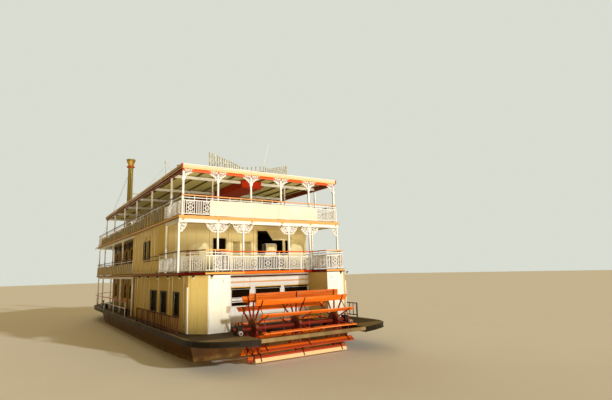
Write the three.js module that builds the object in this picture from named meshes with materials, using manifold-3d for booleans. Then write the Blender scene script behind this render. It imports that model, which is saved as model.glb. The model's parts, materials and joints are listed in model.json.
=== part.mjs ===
// Sternwheel passenger steamer, built in millimetres with +Z up, +Y to the bow and +X to starboard.
// Heights are above the hull's flat bottom and stations are measured forward from the aft face of
// the second deck's stern wings. At the end everything moves aft so that the origin lies on the flat
// of the bottom.
import * as THREE from 'three';
import { mergeVertices } from 'three/addons/utils/BufferGeometryUtils.js';
import Module from 'manifold-3d';

const wasm = await Module();
wasm.setup();

// Driving dimensions
const ORIGIN_STATION = 15000;
const GAP = 0.3;
const MAIN_DECK = 2455;
const SECOND_DECK = 5300;
const THIRD_DECK = 8165;
const ROOF_TOP = 10831;
const ROOF_FASCIA = 247;
const GUARD_DEPTH = 250;
const DECK_DEPTH = 160;
const DECK_HALF = 5000;
const MAIN_WALL_HALF = 4740;
const HOUSE_HALF = 4930;
const FORE_HOUSE_HALF = 3750;
const FORE_HOUSE_START = 12100;
const FORE_HOUSE_END = 26600;
const WALL = 60;
const ROOF_HALF = 4895;
const ROOF_AFT = 1485;
const ROOF_FORE = 25065;
const POST = 90;
const COLUMN_STATIONS = [3700, 7950, 12200, 16450, 20700, 24850];
const RAIL_HEIGHT = 1070;
const WHEEL = { y: -1270, z: 2690, radius: 1570, boards: 12, boardDepth: 300, boardHalf: 2550, rim: 1230, phase: 26.5 };
const SPIDER_X = [-2320, 0, 2320];

const COLOURS = {
  cream: 0xf1e8cc,
  white: 0xf6f2e4,
  red: 0xc8452a,
  darkRed: 0x6e1d18,
  black: 0x23221f,
  grey: 0x8c8a7c,
  brass: 0xc9a13b,
  steel: 0x9a9a95,
  wood: 0x8a5a34,
  cloth: 0xb7a97c,
};

// Turns a closed three.js geometry into a manifold solid.
function solid(geometry) {
  geometry.deleteAttribute('normal');
  geometry.deleteAttribute('uv');
  const merged = mergeVertices(geometry, 1e-3);
  return new wasm.Manifold(new wasm.Mesh({
    numProp: 3,
    vertProperties: new Float32Array(merged.attributes.position.array),
    triVerts: new Uint32Array(merged.index.array),
  }));
}

function box(x0, x1, y0, y1, z0, z1) {
  const geometry = new THREE.BoxGeometry(x1 - x0, y1 - y0, z1 - z0);
  geometry.translate((x0 + x1) / 2, (y0 + y1) / 2, (z0 + z1) / 2);
  return solid(geometry);
}

// Upright prism over a plan outline.
function prism(points, z0, z1) {
  const shape = new THREE.Shape(points.map(([x, y]) => new THREE.Vector2(x, y)));
  const geometry = new THREE.ExtrudeGeometry(shape, { depth: z1 - z0, bevelEnabled: false, curveSegments: 1 });
  geometry.translate(0, 0, z0);
  return solid(geometry);
}

// Prism of an outline in the Y-Z plane, running along X.
function sidePrism(points, x0, x1) {
  const shape = new THREE.Shape(points.map(([y, z]) => new THREE.Vector2(y, z)));
  const geometry = new THREE.ExtrudeGeometry(shape, { depth: x1 - x0, bevelEnabled: false, curveSegments: 1 });
  geometry.applyMatrix4(new THREE.Matrix4().makeBasis(
    new THREE.Vector3(0, 1, 0),
    new THREE.Vector3(0, 0, 1),
    new THREE.Vector3(1, 0, 0),
  ));
  geometry.translate(x0, 0, 0);
  return solid(geometry);
}

// Prism of an outline in the X-Z plane, running along Y.
function frontPrism(points, y0, y1) {
  const shape = new THREE.Shape(points.map(([x, z]) => new THREE.Vector2(x, z)));
  const geometry = new THREE.ExtrudeGeometry(shape, { depth: y1 - y0, bevelEnabled: false, curveSegments: 1 });
  geometry.rotateX(Math.PI / 2);
  geometry.translate(0, y1, 0);
  return solid(geometry);
}

// Plan outline of a strip of even width that follows a line of points.
function ribbon(points, width) {
  const left = [];
  const right = [];
  points.forEach(([x, y], index) => {
    const before = points[Math.max(index - 1, 0)];
    const after = points[Math.min(index + 1, points.length - 1)];
    const inward = new THREE.Vector2(x - before[0], y - before[1]).normalize();
    const outward = new THREE.Vector2(after[0] - x, after[1] - y).normalize();
    if (index === 0) inward.copy(outward);
    if (index === points.length - 1) outward.copy(inward);
    const mean = inward.clone().add(outward).normalize();
    const reach = width / 2 / Math.max(mean.dot(inward), 0.3);
    left.push([x - mean.y * reach, y + mean.x * reach]);
    right.unshift([x + mean.y * reach, y - mean.x * reach]);
  });
  return left.concat(right);
}

function strip(points, width, z0, z1) {
  return prism(ribbon(points, width), z0, z1);
}

function upright(x, y, radius, z0, z1, segments = 12) {
  const geometry = new THREE.CylinderGeometry(radius, radius, z1 - z0, segments);
  geometry.rotateX(Math.PI / 2);
  geometry.translate(x, y, (z0 + z1) / 2);
  return solid(geometry);
}

function athwart(x0, x1, y, z, radius, segments = 16) {
  const geometry = new THREE.CylinderGeometry(radius, radius, x1 - x0, segments);
  geometry.rotateZ(Math.PI / 2);
  geometry.translate((x0 + x1) / 2, y, z);
  return solid(geometry);
}

// Turned body about an upright axis through x, y. The profile is closed by coming back to its start.
function turned(profile, x, y, z, segments = 20) {
  const points = profile.concat([profile[0]]).map(([r, h]) => new THREE.Vector2(r, h));
  const geometry = new THREE.LatheGeometry(points, segments);
  geometry.rotateX(Math.PI / 2);
  geometry.translate(x, y, z);
  return solid(geometry);
}

function join(pieces) {
  return pieces.reduce((sum, piece) => sum.add(piece));
}

function cut(body, pieces) {
  return pieces.reduce((left, piece) => left.subtract(piece), body);
}

function mirrored(body) {
  return body.mirror([1, 0, 0]);
}

// Full outline from its starboard half, which runs from the stern centreline to the bow centreline.
function bothSides(half) {
  const port = half.filter(([x]) => x > 0).map(([x, y]) => [-x, y]).reverse();
  return half.concat(port);
}

function arc(cx, cy, radius, from, to, steps) {
  return Array.from({ length: steps + 1 }, (unused, step) => {
    const angle = THREE.MathUtils.degToRad(from + (to - from) * step / steps);
    return [cx + radius * Math.cos(angle), cy + radius * Math.sin(angle)];
  });
}

// Evenly spaced points along a line of plan points, its two ends among them.
function along(points, spacing) {
  const path = new THREE.CurvePath();
  for (let index = 1; index < points.length; index += 1) {
    path.add(new THREE.LineCurve(new THREE.Vector2(...points[index - 1]), new THREE.Vector2(...points[index])));
  }
  const count = Math.max(1, Math.round(path.getLength() / spacing));
  return path.getSpacedPoints(count).map(({ x, y }) => [x, y]);
}

const group = new THREE.Group();
group.name = 'paddle_steamer';

function place(name, body, colour) {
  const mesh = body.getMesh();
  const geometry = new THREE.BufferGeometry();
  geometry.setAttribute('position', new THREE.BufferAttribute(mesh.vertProperties, 3));
  geometry.setIndex(new THREE.BufferAttribute(mesh.triVerts, 1));
  geometry.translate(0, -ORIGIN_STATION, 0);
  geometry.computeVertexNormals();
  const material = new THREE.MeshStandardMaterial({ color: COLOURS[colour] });
  const node = new THREE.Mesh(geometry, material);
  node.name = name;
  group.add(node);
}

// Hull
// Each section: station, half-width at the deck, half-width at the bottom, bottom height, bilge size
const HULL_TOP = MAIN_DECK - GUARD_DEPTH - GAP;
const HULL_SECTIONS = [
  [520, 4700, 4500, 1150, 120],
  [2500, 4800, 4600, 580, 250],
  [4500, 4900, 4650, 0, 420],
  [9000, 4950, 4700, 0, 450],
  [22500, 4950, 4700, 0, 450],
  [25500, 4800, 4300, 0, 450],
  [28000, 4300, 3500, 60, 420],
  [30200, 3450, 2300, 330, 360],
  [31900, 2350, 1250, 800, 280],
  [33000, 1200, 500, 1350, 160],
  [33450, 450, 180, 1750, 60],
];

function hullBody() {
  const ring = HULL_SECTIONS.map(([y, deckHalf, bottomHalf, bottom, bilge]) => {
    const half = [
      [bottomHalf - bilge, bottom],
      [bottomHalf - bilge * 0.35, bottom + bilge * 0.15],
      [bottomHalf, bottom + bilge],
      [deckHalf, HULL_TOP],
    ];
    const port = half.map(([x, z]) => [-x, z]).reverse();
    return half.concat(port).map(([x, z]) => [x, y, z]);
  });
  const count = ring[0].length;
  const positions = ring.flat(2);
  const index = [];
  for (let section = 0; section + 1 < ring.length; section += 1) {
    for (let step = 0; step < count; step += 1) {
      const a = section * count + step;
      const b = section * count + (step + 1) % count;
      index.push(a, a + count, b, b, a + count, b + count);
    }
  }
  const last = (ring.length - 1) * count;
  for (let step = 1; step + 1 < count; step += 1) {
    index.push(0, step, step + 1);
    index.push(last, last + step + 1, last + step);
  }
  const geometry = new THREE.BufferGeometry();
  geometry.setAttribute('position', new THREE.Float32BufferAttribute(positions, 3));
  geometry.setIndex(index);
  const body = solid(geometry);
  return body;
}

const RUDDER = { x: 1700, y: 1300, stock: 70, half: 25 };
const rudderBores = [-1, 1].map((side) => (
  upright(side * RUDDER.x, RUDDER.y, RUDDER.stock + 0.6, 600, 1402, 32)
));
place('hull', cut(hullBody(), rudderBores), 'black');

[['rudder_port', -1], ['rudder_starboard', 1]].forEach(([name, side]) => {
  const x = side * RUDDER.x;
  const blade = sidePrism([[1900, 120], [1900, 640], [-100, 1000], [-100, 120]], x - RUDDER.half, x + RUDDER.half);
  place(name, blade.add(upright(x, RUDDER.y, RUDDER.stock, 130, 1400, 32)), 'black');
});

// Main deck with its guards and the two arms that carry the paddle wheel
const MAIN_DECK_HALF_PLAN = [
  [0, 450], [2850, 450], [2850, -3130], [3710, -2870], [4440, -2530], [4780, -2310], [5070, -1940],
  [5270, -1520], [5380, -950], [5420, -200], [5420, 25000], [5200, 27500], [4700, 29400], [3900, 31100],
  [2800, 32500], [1500, 33400], [0, 33750],
];
place('main_deck', prism(bothSides(MAIN_DECK_HALF_PLAN), MAIN_DECK - GUARD_DEPTH, MAIN_DECK), 'grey');

// Timber across the ends of the two arms, abaft the wheel
const ARM_INNER = 2850;
place('stern_beam', box(-ARM_INNER + GAP, ARM_INNER - GAP, -3130, -2950, MAIN_DECK - 160, MAIN_DECK), 'grey');

// Paddle wheel: hub discs and arms on a shaft, a flat bar from arm to arm, and boards across all three
function onWheel(angle, radius) {
  const turn = THREE.MathUtils.degToRad(angle);
  return [WHEEL.y - radius * Math.cos(turn), WHEEL.z + radius * Math.sin(turn)];
}

function radialBar(x0, x1, angle, r0, r1, width) {
  const [ay, az] = onWheel(angle, r0);
  const [by, bz] = onWheel(angle, r1);
  const run = Math.hypot(by - ay, bz - az);
  const ny = -(bz - az) / run * width / 2;
  const nz = (by - ay) / run * width / 2;
  return sidePrism([[ay + ny, az + nz], [by + ny, bz + nz], [by - ny, bz - nz], [ay - ny, az - nz]], x0, x1);
}

// Hub disc whose flats face the arms
function hubDisc(x) {
  const geometry = new THREE.CylinderGeometry(450, 450, 120, 24);
  geometry.rotateZ(Math.PI / 2);
  geometry.rotateX(THREE.MathUtils.degToRad(7.5 - WHEEL.phase));
  geometry.translate(x, WHEEL.y, WHEEL.z);
  return solid(geometry);
}

const SHAFT_RADIUS = 100;
const wheelPieces = [];
for (let board = 0; board < WHEEL.boards; board += 1) {
  const angle = WHEEL.phase + board * 360 / WHEEL.boards;
  const inner = WHEEL.radius - WHEEL.boardDepth;
  wheelPieces.push(radialBar(-WHEEL.boardHalf, WHEEL.boardHalf, angle, inner, WHEEL.radius, 50));
  const rimBar = [onWheel(angle, WHEEL.rim), onWheel(angle + 360 / WHEEL.boards, WHEEL.rim)];
  SPIDER_X.forEach((x) => {
    wheelPieces.push(radialBar(x - 35, x + 35, angle, 300, inner + 40, 46));
    wheelPieces.push(sidePrism(ribbon(rimBar, 30), x - 12, x + 12));
  });
}
SPIDER_X.forEach((x) => {
  wheelPieces.push(hubDisc(x));
});
const shaftBore = athwart(-2600, 2600, WHEEL.y, WHEEL.z, SHAFT_RADIUS + GAP, 40);
place('paddle_wheel', join(wheelPieces).subtract(shaftBore), 'red');
place('wheel_shaft', athwart(-3330, 3330, WHEEL.y, WHEEL.z, SHAFT_RADIUS, 40), 'darkRed');

const pillow = cut(
  join([
    box(2900, 3200, WHEEL.y - 260, WHEEL.y + 260, MAIN_DECK + GAP, MAIN_DECK + 110),
    box(2930, 3170, WHEEL.y - 170, WHEEL.y + 170, MAIN_DECK + 50, WHEEL.z + 190),
  ]),
  [athwart(2800, 3300, WHEEL.y, WHEEL.z, SHAFT_RADIUS + 0.5, 40)],
);
place('wheel_bearing_port', mirrored(pillow), 'black');
place('wheel_bearing_starboard', pillow, 'black');

// Main-deck house
const MAIN_WALL_FOOT = MAIN_DECK + GAP;
const MAIN_WALL_HEAD = SECOND_DECK - DECK_DEPTH - GAP;
const RECESS_STATION = 1900;
const AFT_BLOCK_PLAN = [
  [2930, RECESS_STATION + 40], [2930, 30], [4010, 30], [MAIN_WALL_HALF - 30, 760],
  [MAIN_WALL_HALF - 30, FORE_HOUSE_START - 30], [FORE_HOUSE_HALF - 30, FORE_HOUSE_START - 30],
];
// Side windows of the main deck: station from, station to, sill, head
const MAIN_SIDE_WINDOWS = [
  [2100, 2950, 3190, 4290], [4350, 5450, 3170, 4290], [6400, 7650, 3150, 4290],
];
// Fore-house windows share one size and pitch on both decks.
const FORE_WINDOWS = { first: 13400, pitch: 2150, count: 6, width: 1150 };

function foreWindowCuts(sill, head) {
  const cuts = [];
  for (let window = 0; window < FORE_WINDOWS.count; window += 1) {
    const y = FORE_WINDOWS.first + window * FORE_WINDOWS.pitch;
    const radius = FORE_WINDOWS.width / 2;
    const outline = [[y, sill], [y + FORE_WINDOWS.width, sill]]
      .concat(arc(y + radius, head - radius, radius, 0, 180, 4));
    cuts.push(sidePrism(outline, 3500, 4000));
  }
  return cuts;
}

const aftBlock = cut(strip(AFT_BLOCK_PLAN, WALL, MAIN_WALL_FOOT, MAIN_WALL_HEAD), MAIN_SIDE_WINDOWS.map(
  ([y0, y1, z0, z1]) => box(4500, 5000, y0, y1, z0, z1),
));
place('main_house_aft_port', mirrored(aftBlock), 'cream');
place('main_house_aft_starboard', aftBlock, 'cream');

// Windows of the recessed stern wall: across from, across to
const RECESS_WINDOWS = [[-2010, -960], [-600, 940], [1240, 2790]];
const recessWall = cut(
  box(-2900 + GAP, 2900 - GAP, RECESS_STATION, RECESS_STATION + WALL, MAIN_WALL_FOOT, MAIN_WALL_HEAD),
  RECESS_WINDOWS.map(([x0, x1]) => box(x0, x1, 1800, 2100, 3480, 4340)),
);
place('main_house_aft_wall', recessWall, 'white');

// Two hinge knuckles on a door's pivot line
function knuckles(x, y, foot) {
  return upright(x, y, 7.7, foot + 250, foot + 370, 8).add(upright(x, y, 7.7, foot + 1500, foot + 1620, 8));
}

// One U of walls around the fore end, with a door in the middle of the front
const foreDoor = { half: 500, head: 2050 };
function foreHouse(foot, head) {
  const x = FORE_HOUSE_HALF - 30;
  const plan = [
    [-x, FORE_HOUSE_START + GAP], [-x, FORE_HOUSE_END - 30], [x, FORE_HOUSE_END - 30], [x, FORE_HOUSE_START + GAP],
  ];
  const cuts = foreWindowCuts(foot + 850, foot + 2150);
  cuts.push(...cuts.map(mirrored));
  const front = [FORE_HOUSE_END - 200, FORE_HOUSE_END + 200];
  cuts.push(box(1500, 2900, ...front, foot + 850, foot + 2050));
  cuts.push(box(-2900, -1500, ...front, foot + 850, foot + 2050));
  cuts.push(box(-foreDoor.half, foreDoor.half, ...front, foot - 10, foot + foreDoor.head));
  return cut(strip(plan, WALL, foot, head), cuts);
}
place('main_house_fore', foreHouse(MAIN_WALL_FOOT, MAIN_WALL_HEAD), 'cream');

function foreDoorLeaf(foot) {
  const x = foreDoor.half - 8;
  const leaf = box(-x, x, FORE_HOUSE_END - 50, FORE_HOUSE_END - 8, foot + 8, foot + foreDoor.head - 8);
  const pane = box(-x + 150, x - 150, FORE_HOUSE_END - 100, FORE_HOUSE_END + 50, foot + 1000, foot + 1850);
  return leaf.subtract(pane).add(knuckles(-x, FORE_HOUSE_END - 8, foot));
}
place('main_fore_door', foreDoorLeaf(MAIN_WALL_FOOT), 'wood');

place('engine_block', box(-1500, 1500, 4200, 8200, MAIN_DECK + GAP, MAIN_DECK + 1700), 'grey');

// Second deck
const SECOND_DECK_HALF_PLAN = [
  [0, 1470], [2900, 1470], [2900, 0], [4150, 0], [4640, 880], [DECK_HALF, 1480],
  [DECK_HALF, 28300], [4850, 29300], [4300, 30200], [3200, 30900], [1700, 31250], [0, 31350],
];
const BOW_STAIR = { half: 750, footY: 31600, headY: 28800, wellHalf: 800, steps: 14 };
const secondDeck = prism(bothSides(SECOND_DECK_HALF_PLAN), SECOND_DECK - DECK_DEPTH, SECOND_DECK).subtract(
  box(-BOW_STAIR.wellHalf, BOW_STAIR.wellHalf, BOW_STAIR.headY - GAP, 32000, SECOND_DECK - 400, SECOND_DECK + 100),
);
place('second_deck', secondDeck, 'red');

// Second-deck house
const HOUSE_FOOT = SECOND_DECK + GAP;
const HOUSE_HEAD = THIRD_DECK - DECK_DEPTH - GAP;
const HOUSE_AFT = 3500;
const CORNER = { x: 2600, radius: HOUSE_HALF - 2600 };
const CORNER_CENTRE = HOUSE_AFT + CORNER.radius;
const SECOND_SIDE_WINDOWS = [[7450, 7900, 6250, 7250], [8400, 8950, 6250, 7250]];
const cornerPlan = arc(CORNER.x, CORNER_CENTRE, CORNER.radius - 30, 270, 360, 9)
  .concat([[HOUSE_HALF - 30, FORE_HOUSE_START - 30], [FORE_HOUSE_HALF - 30, FORE_HOUSE_START - 30]]);
cornerPlan.splice(0, 1, [CORNER.x + GAP, HOUSE_AFT + 30], [CORNER.x + 100, HOUSE_AFT + 30]);
const secondCorner = cut(strip(cornerPlan, WALL, HOUSE_FOOT, HOUSE_HEAD), SECOND_SIDE_WINDOWS.map(
  ([y0, y1, z0, z1]) => box(4700, 5200, y0, y1, z0, z1),
));
place('second_house_corner_port', mirrored(secondCorner), 'cream');
place('second_house_corner_starboard', secondCorner, 'cream');

// Openings of the aft wall: across from, across to, sill, head
const AFT_DOOR = [-2480, -1620, HOUSE_FOOT - 10, SECOND_DECK + 1950];
const SERVING_HATCH = [350, 2480, SECOND_DECK + 950, SECOND_DECK + 2400];
const AFT_OPENINGS = [
  AFT_DOOR,
  [-1260, -800, SECOND_DECK + 900, SECOND_DECK + 1760],
  [-520, -60, SECOND_DECK + 900, SECOND_DECK + 1760],
  SERVING_HATCH,
];
const aftWall = cut(
  box(-CORNER.x, CORNER.x, HOUSE_AFT, HOUSE_AFT + WALL, HOUSE_FOOT, HOUSE_HEAD),
  AFT_OPENINGS.map(([x0, x1, z0, z1]) => box(x0, x1, HOUSE_AFT - 50, HOUSE_AFT + 150, z0, z1)),
);
// Batten over the serving hatch, which carries the shutter's hinge
const SHUTTER = { x0: 1000, x1: 2440, y: HOUSE_AFT - 30, z: SECOND_DECK + 2380, drop: 900, lean: 50, knuckle: 15 };
const batten = box(
  SHUTTER.x0, SHUTTER.x1, HOUSE_AFT - 50, HOUSE_AFT + 10, SHUTTER.z + SHUTTER.knuckle + GAP, SHUTTER.z + 70,
);
place('second_house_aft_wall', aftWall.add(batten), 'cream');

const [doorLeft, doorRight, , doorHead] = AFT_DOOR;
const aftDoorLeaf = cut(
  box(doorLeft + 8, doorRight - 8, HOUSE_AFT + 8, HOUSE_AFT + 50, HOUSE_FOOT + 8, doorHead - 8),
  [box(doorLeft + 90, doorRight - 90, HOUSE_AFT - 50, HOUSE_AFT + 150, SECOND_DECK + 850, SECOND_DECK + 1860)],
);
place('second_aft_door', aftDoorLeaf.add(knuckles(doorLeft + 8, HOUSE_AFT + 8, HOUSE_FOOT)), 'cream');

// Raised shutter over the serving hatch, hinged along its top edge
const shutterTurn = THREE.MathUtils.degToRad(SHUTTER.lean);
const shutterFoot = [SHUTTER.y - SHUTTER.drop * Math.sin(shutterTurn), SHUTTER.z - SHUTTER.drop * Math.cos(shutterTurn)];
const shutterLine = [[SHUTTER.y, SHUTTER.z], shutterFoot];
const shutter = sidePrism(ribbon(shutterLine, 30), SHUTTER.x0, SHUTTER.x1)
  .add(athwart(SHUTTER.x0, SHUTTER.x1, SHUTTER.y, SHUTTER.z, SHUTTER.knuckle, 16));
place('serving_shutter', shutter, 'cream');

const counter = join([
  box(400, 2450, HOUSE_AFT + 120, HOUSE_AFT + 700, HOUSE_FOOT, SECOND_DECK + 930),
  box(1000, 1750, HOUSE_AFT + 200, HOUSE_AFT + 650, SECOND_DECK + 900, SECOND_DECK + 1650),
]);
place('serving_counter', counter, 'white');

place('second_house_fore', foreHouse(HOUSE_FOOT, HOUSE_HEAD), 'cream');
place('second_fore_door', foreDoorLeaf(HOUSE_FOOT), 'wood');

// Posts of the main-deck promenade under the second deck
const PROMENADE_X = 4900;
const promenadePosts = COLUMN_STATIONS.slice(2).concat([27600]);
const promenade = [];
[-1, 1].forEach((side) => {
  const x = side * PROMENADE_X;
  const top = SECOND_DECK - DECK_DEPTH - GAP;
  promenade.push(box(x - 40, x + 40, promenadePosts[0] - 45, 27645, top - 150, top));
  promenadePosts.forEach((y) => promenade.push(box(x - 45, x + 45, y - 45, y + 45, MAIN_DECK + GAP, top)));
});
promenade.push(box(-PROMENADE_X, PROMENADE_X, 27560, 27640, SECOND_DECK - DECK_DEPTH - 150, SECOND_DECK - DECK_DEPTH - GAP));
place('main_deck_posts', join(promenade), 'white');

// Posts and edge beam under the third deck
const STERN_POSTS_LOWER = [-4955, -2900, -1440, 1440, 2900, 4955];
const lowerFrame = [];
const lowerTop = THIRD_DECK - DECK_DEPTH - GAP;
const lowerY = 1645;
lowerFrame.push(box(-5000, 5000, lowerY - 50, lowerY + 50, lowerTop - 150, lowerTop));
STERN_POSTS_LOWER.forEach((x) => {
  lowerFrame.push(box(x - POST / 2, x + POST / 2, lowerY - POST / 2, lowerY + POST / 2, SECOND_DECK + GAP, lowerTop));
});
// Fans at the heads of the posts: half an oval band with four ribs, or a quarter at the corners
const FAN = { depth: 500, band: 30, ribs: [25, 55], back: 12 };
function fan(x, half, sides) {
  const z = lowerTop - 150;
  const oval = (size, angle) => {
    const turn = THREE.MathUtils.degToRad(angle);
    return [half * size * Math.cos(turn), FAN.depth * size * Math.sin(turn)];
  };
  return sides.flatMap((side) => {
    const at = ([across, down]) => [x + side * across, z + 4 - down];
    const band = Array.from({ length: 7 }, (unused, step) => at(oval(1, step * 15)));
    const ribs = FAN.ribs.map((angle) => [at([0, 60]), at(oval(0.99, angle))]);
    return [band, ...ribs].map((line) => frontPrism(ribbon(line, FAN.band), lowerY - FAN.back, lowerY + FAN.back));
  });
}
const FANS = [[-4955, 400, [1]], [-2900, 640, [-1, 1]], [-1440, 600, [-1, 1]], [1440, 600, [-1, 1]],
  [2900, 640, [-1, 1]], [4955, 400, [-1]]];
FANS.forEach(([x, half, sides]) => lowerFrame.push(...fan(x, half, sides)));
// Side posts by the rounded corners of the house
const SIDE_POST = { x: 4850, y: 4260 };
[-1, 1].forEach((side) => {
  const x = side * SIDE_POST.x;
  const y = SIDE_POST.y;
  lowerFrame.push(box(x - 35, x + 35, lowerY, y + 40, lowerTop - 150, lowerTop));
  lowerFrame.push(box(x - 45, x + 45, y - 45, y + 45, SECOND_DECK + GAP, lowerTop));
});
place('third_deck_posts_stern', join(lowerFrame), 'white');

const foreFrame = [];
[-1, 1].forEach((side) => {
  const x = side * 4830;
  foreFrame.push(box(x - 40, x + 40, FORE_HOUSE_START + 60, 28195, lowerTop - 150, lowerTop));
  COLUMN_STATIONS.slice(2).concat([28150]).forEach((y) => {
    foreFrame.push(box(x - 45, x + 45, y - 45, y + 45, SECOND_DECK + GAP, lowerTop));
  });
});
foreFrame.push(box(-4830, 4830, 26760, 26840, lowerTop - 150, lowerTop));
place('third_deck_posts_fore', join(foreFrame), 'white');

// Third deck, with the stair hatch forward
const THIRD_DECK_HALF_PLAN = [
  [0, 1468], [DECK_HALF + 18, 1468], [DECK_HALF + 18, 28300], [4850, 29150], [4300, 29900],
  [3200, 30450], [1700, 30750], [0, 30850],
];
const HATCH = { x0: 3050, x1: 4050, y0: 27000, y1: 29500 };
const thirdDeck = prism(bothSides(THIRD_DECK_HALF_PLAN), THIRD_DECK - DECK_DEPTH, THIRD_DECK)
  .subtract(box(HATCH.x0, HATCH.x1, HATCH.y0, HATCH.y1, THIRD_DECK - 400, THIRD_DECK + 100));
place('third_deck', thirdDeck, 'red');

// Stairs: sloping strings with treads between them
function stair(x0, x1, footY, headY, footZ, headZ, steps) {
  const run = (headY - footY) / steps;
  const rise = (headZ - footZ) / steps;
  const pieces = [];
  const slope = [[footY, footZ + GAP], [footY, footZ + 260], [headY, headZ], [headY, headZ - 300],
    [footY + run * 0.8, footZ + GAP]];
  [[x0, x0 + 50], [x1 - 50, x1]].forEach(([a, b]) => pieces.push(sidePrism(slope, a, b)));
  for (let step = 1; step < steps; step += 1) {
    const y = footY + run * (step - 0.5);
    const z = footZ + rise * step;
    pieces.push(box(x0, x1, y - 130, y + 130, z - 40, z));
  }
  return join(pieces);
}
const bowStair = stair(
  -BOW_STAIR.half, BOW_STAIR.half, BOW_STAIR.footY, BOW_STAIR.headY, MAIN_DECK, SECOND_DECK, BOW_STAIR.steps,
);
place('fore_stair', bowStair, 'grey');
const upperStair = stair(HATCH.x0 + 30, HATCH.x1 - 30, 29400, 27010, SECOND_DECK, THIRD_DECK, 10);
place('upper_stair', upperStair, 'grey');

// Guard rails: posts with a top rail, a pipe below it and a panel frame
function rail(points, deck, spacing, levels = [900, 760, 70]) {
  const base = deck + GAP;
  const pieces = [strip(points, 60, base + RAIL_HEIGHT - 50, base + RAIL_HEIGHT)];
  levels.forEach((level) => pieces.push(strip(points, 36, base + level, base + level + 35)));
  along(points, spacing).forEach(([x, y]) => {
    pieces.push(box(x - 15, x + 15, y - 15, y + 15, base, base + RAIL_HEIGHT - 30));
  });
  return join(pieces);
}

const RAIL_LINE = 1530;
const SECOND_STERN_RAIL = [
  [2970, RAIL_LINE], [2970, 70], [4110, 70], [4580, 915], [4835, 1470], [4930, 2070], [4930, 5250],
];
const portHalfOf = (points) => points.map(([x, y]) => [-x, y]).reverse();
const secondSternPath = portHalfOf(SECOND_STERN_RAIL).concat(SECOND_STERN_RAIL);
place('second_stern_rail', rail(secondSternPath, SECOND_DECK, 1480), 'white');

const SECOND_FORE_RAIL = [
  [4940, FORE_HOUSE_START + 30], [4940, 28290], [4790, 29260], [4250, 30140], [3170, 30830], [1680, 31180],
  [BOW_STAIR.wellHalf + 70, 31235], [BOW_STAIR.wellHalf + 70, BOW_STAIR.headY + 50],
];
place('second_fore_rail_port', mirrored(rail(SECOND_FORE_RAIL, SECOND_DECK, 4250, [900, 70])), 'white');
place('second_fore_rail_starboard', rail(SECOND_FORE_RAIL, SECOND_DECK, 4250, [900, 70]), 'white');

const THIRD_RAIL = [
  [4850, RAIL_LINE], [4930, 1610], [4930, 28290], [4770, 29110], [4240, 29830], [3160, 30370], [1680, 30680],
];
const thirdRailPath = THIRD_RAIL.concat(portHalfOf(THIRD_RAIL));
const thirdRailSides = rail(thirdRailPath, THIRD_DECK, 4250, [900, 70]);
const thirdRailStern = rail([[-4860, RAIL_LINE], [4860, RAIL_LINE]], THIRD_DECK, 1944);
place('third_rail', thirdRailSides.add(thirdRailStern), 'white');

// Rail round the bow deck
const BOW_RAIL = [[5340, FORE_HOUSE_START], [5340, 25000], [5120, 27470], [4630, 29340], [3840, 31010], [2750, 32380]];
const bowRailPath = BOW_RAIL.concat([[1500, 33260]], portHalfOf(BOW_RAIL.concat([[1500, 33260]])));
place('bow_rail', rail(bowRailPath, MAIN_DECK, 4250, [560]), 'white');

// Picket fences along the guards
const FENCE = { x: 5300, y0: 400, y1: 8700, bays: 6, pickets: 4, height: 840 };
const fence = [120, FENCE.height - 50].map((level) => (
  box(FENCE.x - 20, FENCE.x + 20, FENCE.y0, FENCE.y1, MAIN_DECK + level, MAIN_DECK + level + 50)
));
const fencePosts = FENCE.bays * FENCE.pickets;
for (let post = 0; post <= fencePosts; post += 1) {
  const y = FENCE.y0 + 30 + (FENCE.y1 - FENCE.y0 - 60) * post / fencePosts;
  const stout = post % FENCE.pickets === 0;
  const half = stout ? 30 : 16;
  const foot = stout ? MAIN_DECK + GAP : MAIN_DECK + 80;
  fence.push(box(FENCE.x - half, FENCE.x + half, y - half, y + half, foot, MAIN_DECK + FENCE.height - 10));
}
const guardFence = join(fence);
place('guard_fence_port', mirrored(guardFence), 'darkRed');
place('guard_fence_starboard', guardFence, 'darkRed');

// Canopy roof: a thin skin with a deep fascia all round
const CEILING = ROOF_TOP - 60;
const roof = box(-ROOF_HALF, ROOF_HALF, ROOF_AFT, ROOF_FORE, ROOF_TOP - ROOF_FASCIA, ROOF_TOP).subtract(
  box(-ROOF_HALF + 50, ROOF_HALF - 50, ROOF_AFT + 50, ROOF_FORE - 50, ROOF_TOP - ROOF_FASCIA - 50, CEILING),
);
place('canopy_roof', roof, 'cream');

// Canopy frame: side beams with a crossbeam and four posts at each column station
const FRAME_TOP = CEILING - GAP;
const BEAM_DEPTH = 300;
const CROSS = { top: FRAME_TOP - 90, foot: FRAME_TOP - 250, half: 55 };
const STERN_POST_LINE = 1645;
const canopyFrame = [];
const postTop = FRAME_TOP - BEAM_DEPTH + 20;
[-1, 1].forEach((side) => {
  const x = side * 4780;
  canopyFrame.push(box(x - 50, x + 50, STERN_POST_LINE + 55 + GAP, 24950, FRAME_TOP - BEAM_DEPTH, FRAME_TOP));
  COLUMN_STATIONS.forEach((y) => {
    canopyFrame.push(box(x - 45, x + 45, y - 45, y + 45, THIRD_DECK + GAP, postTop));
    canopyFrame.push(box(side * 2420 - 40, side * 2420 + 40, y - 40, y + 40, THIRD_DECK + GAP, CROSS.foot + 20));
  });
});
COLUMN_STATIONS.forEach((y) => {
  canopyFrame.push(box(-4780, 4780, y - CROSS.half, y + CROSS.half, CROSS.foot, CROSS.top));
});
place('canopy_frame', join(canopyFrame), 'white');

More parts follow.
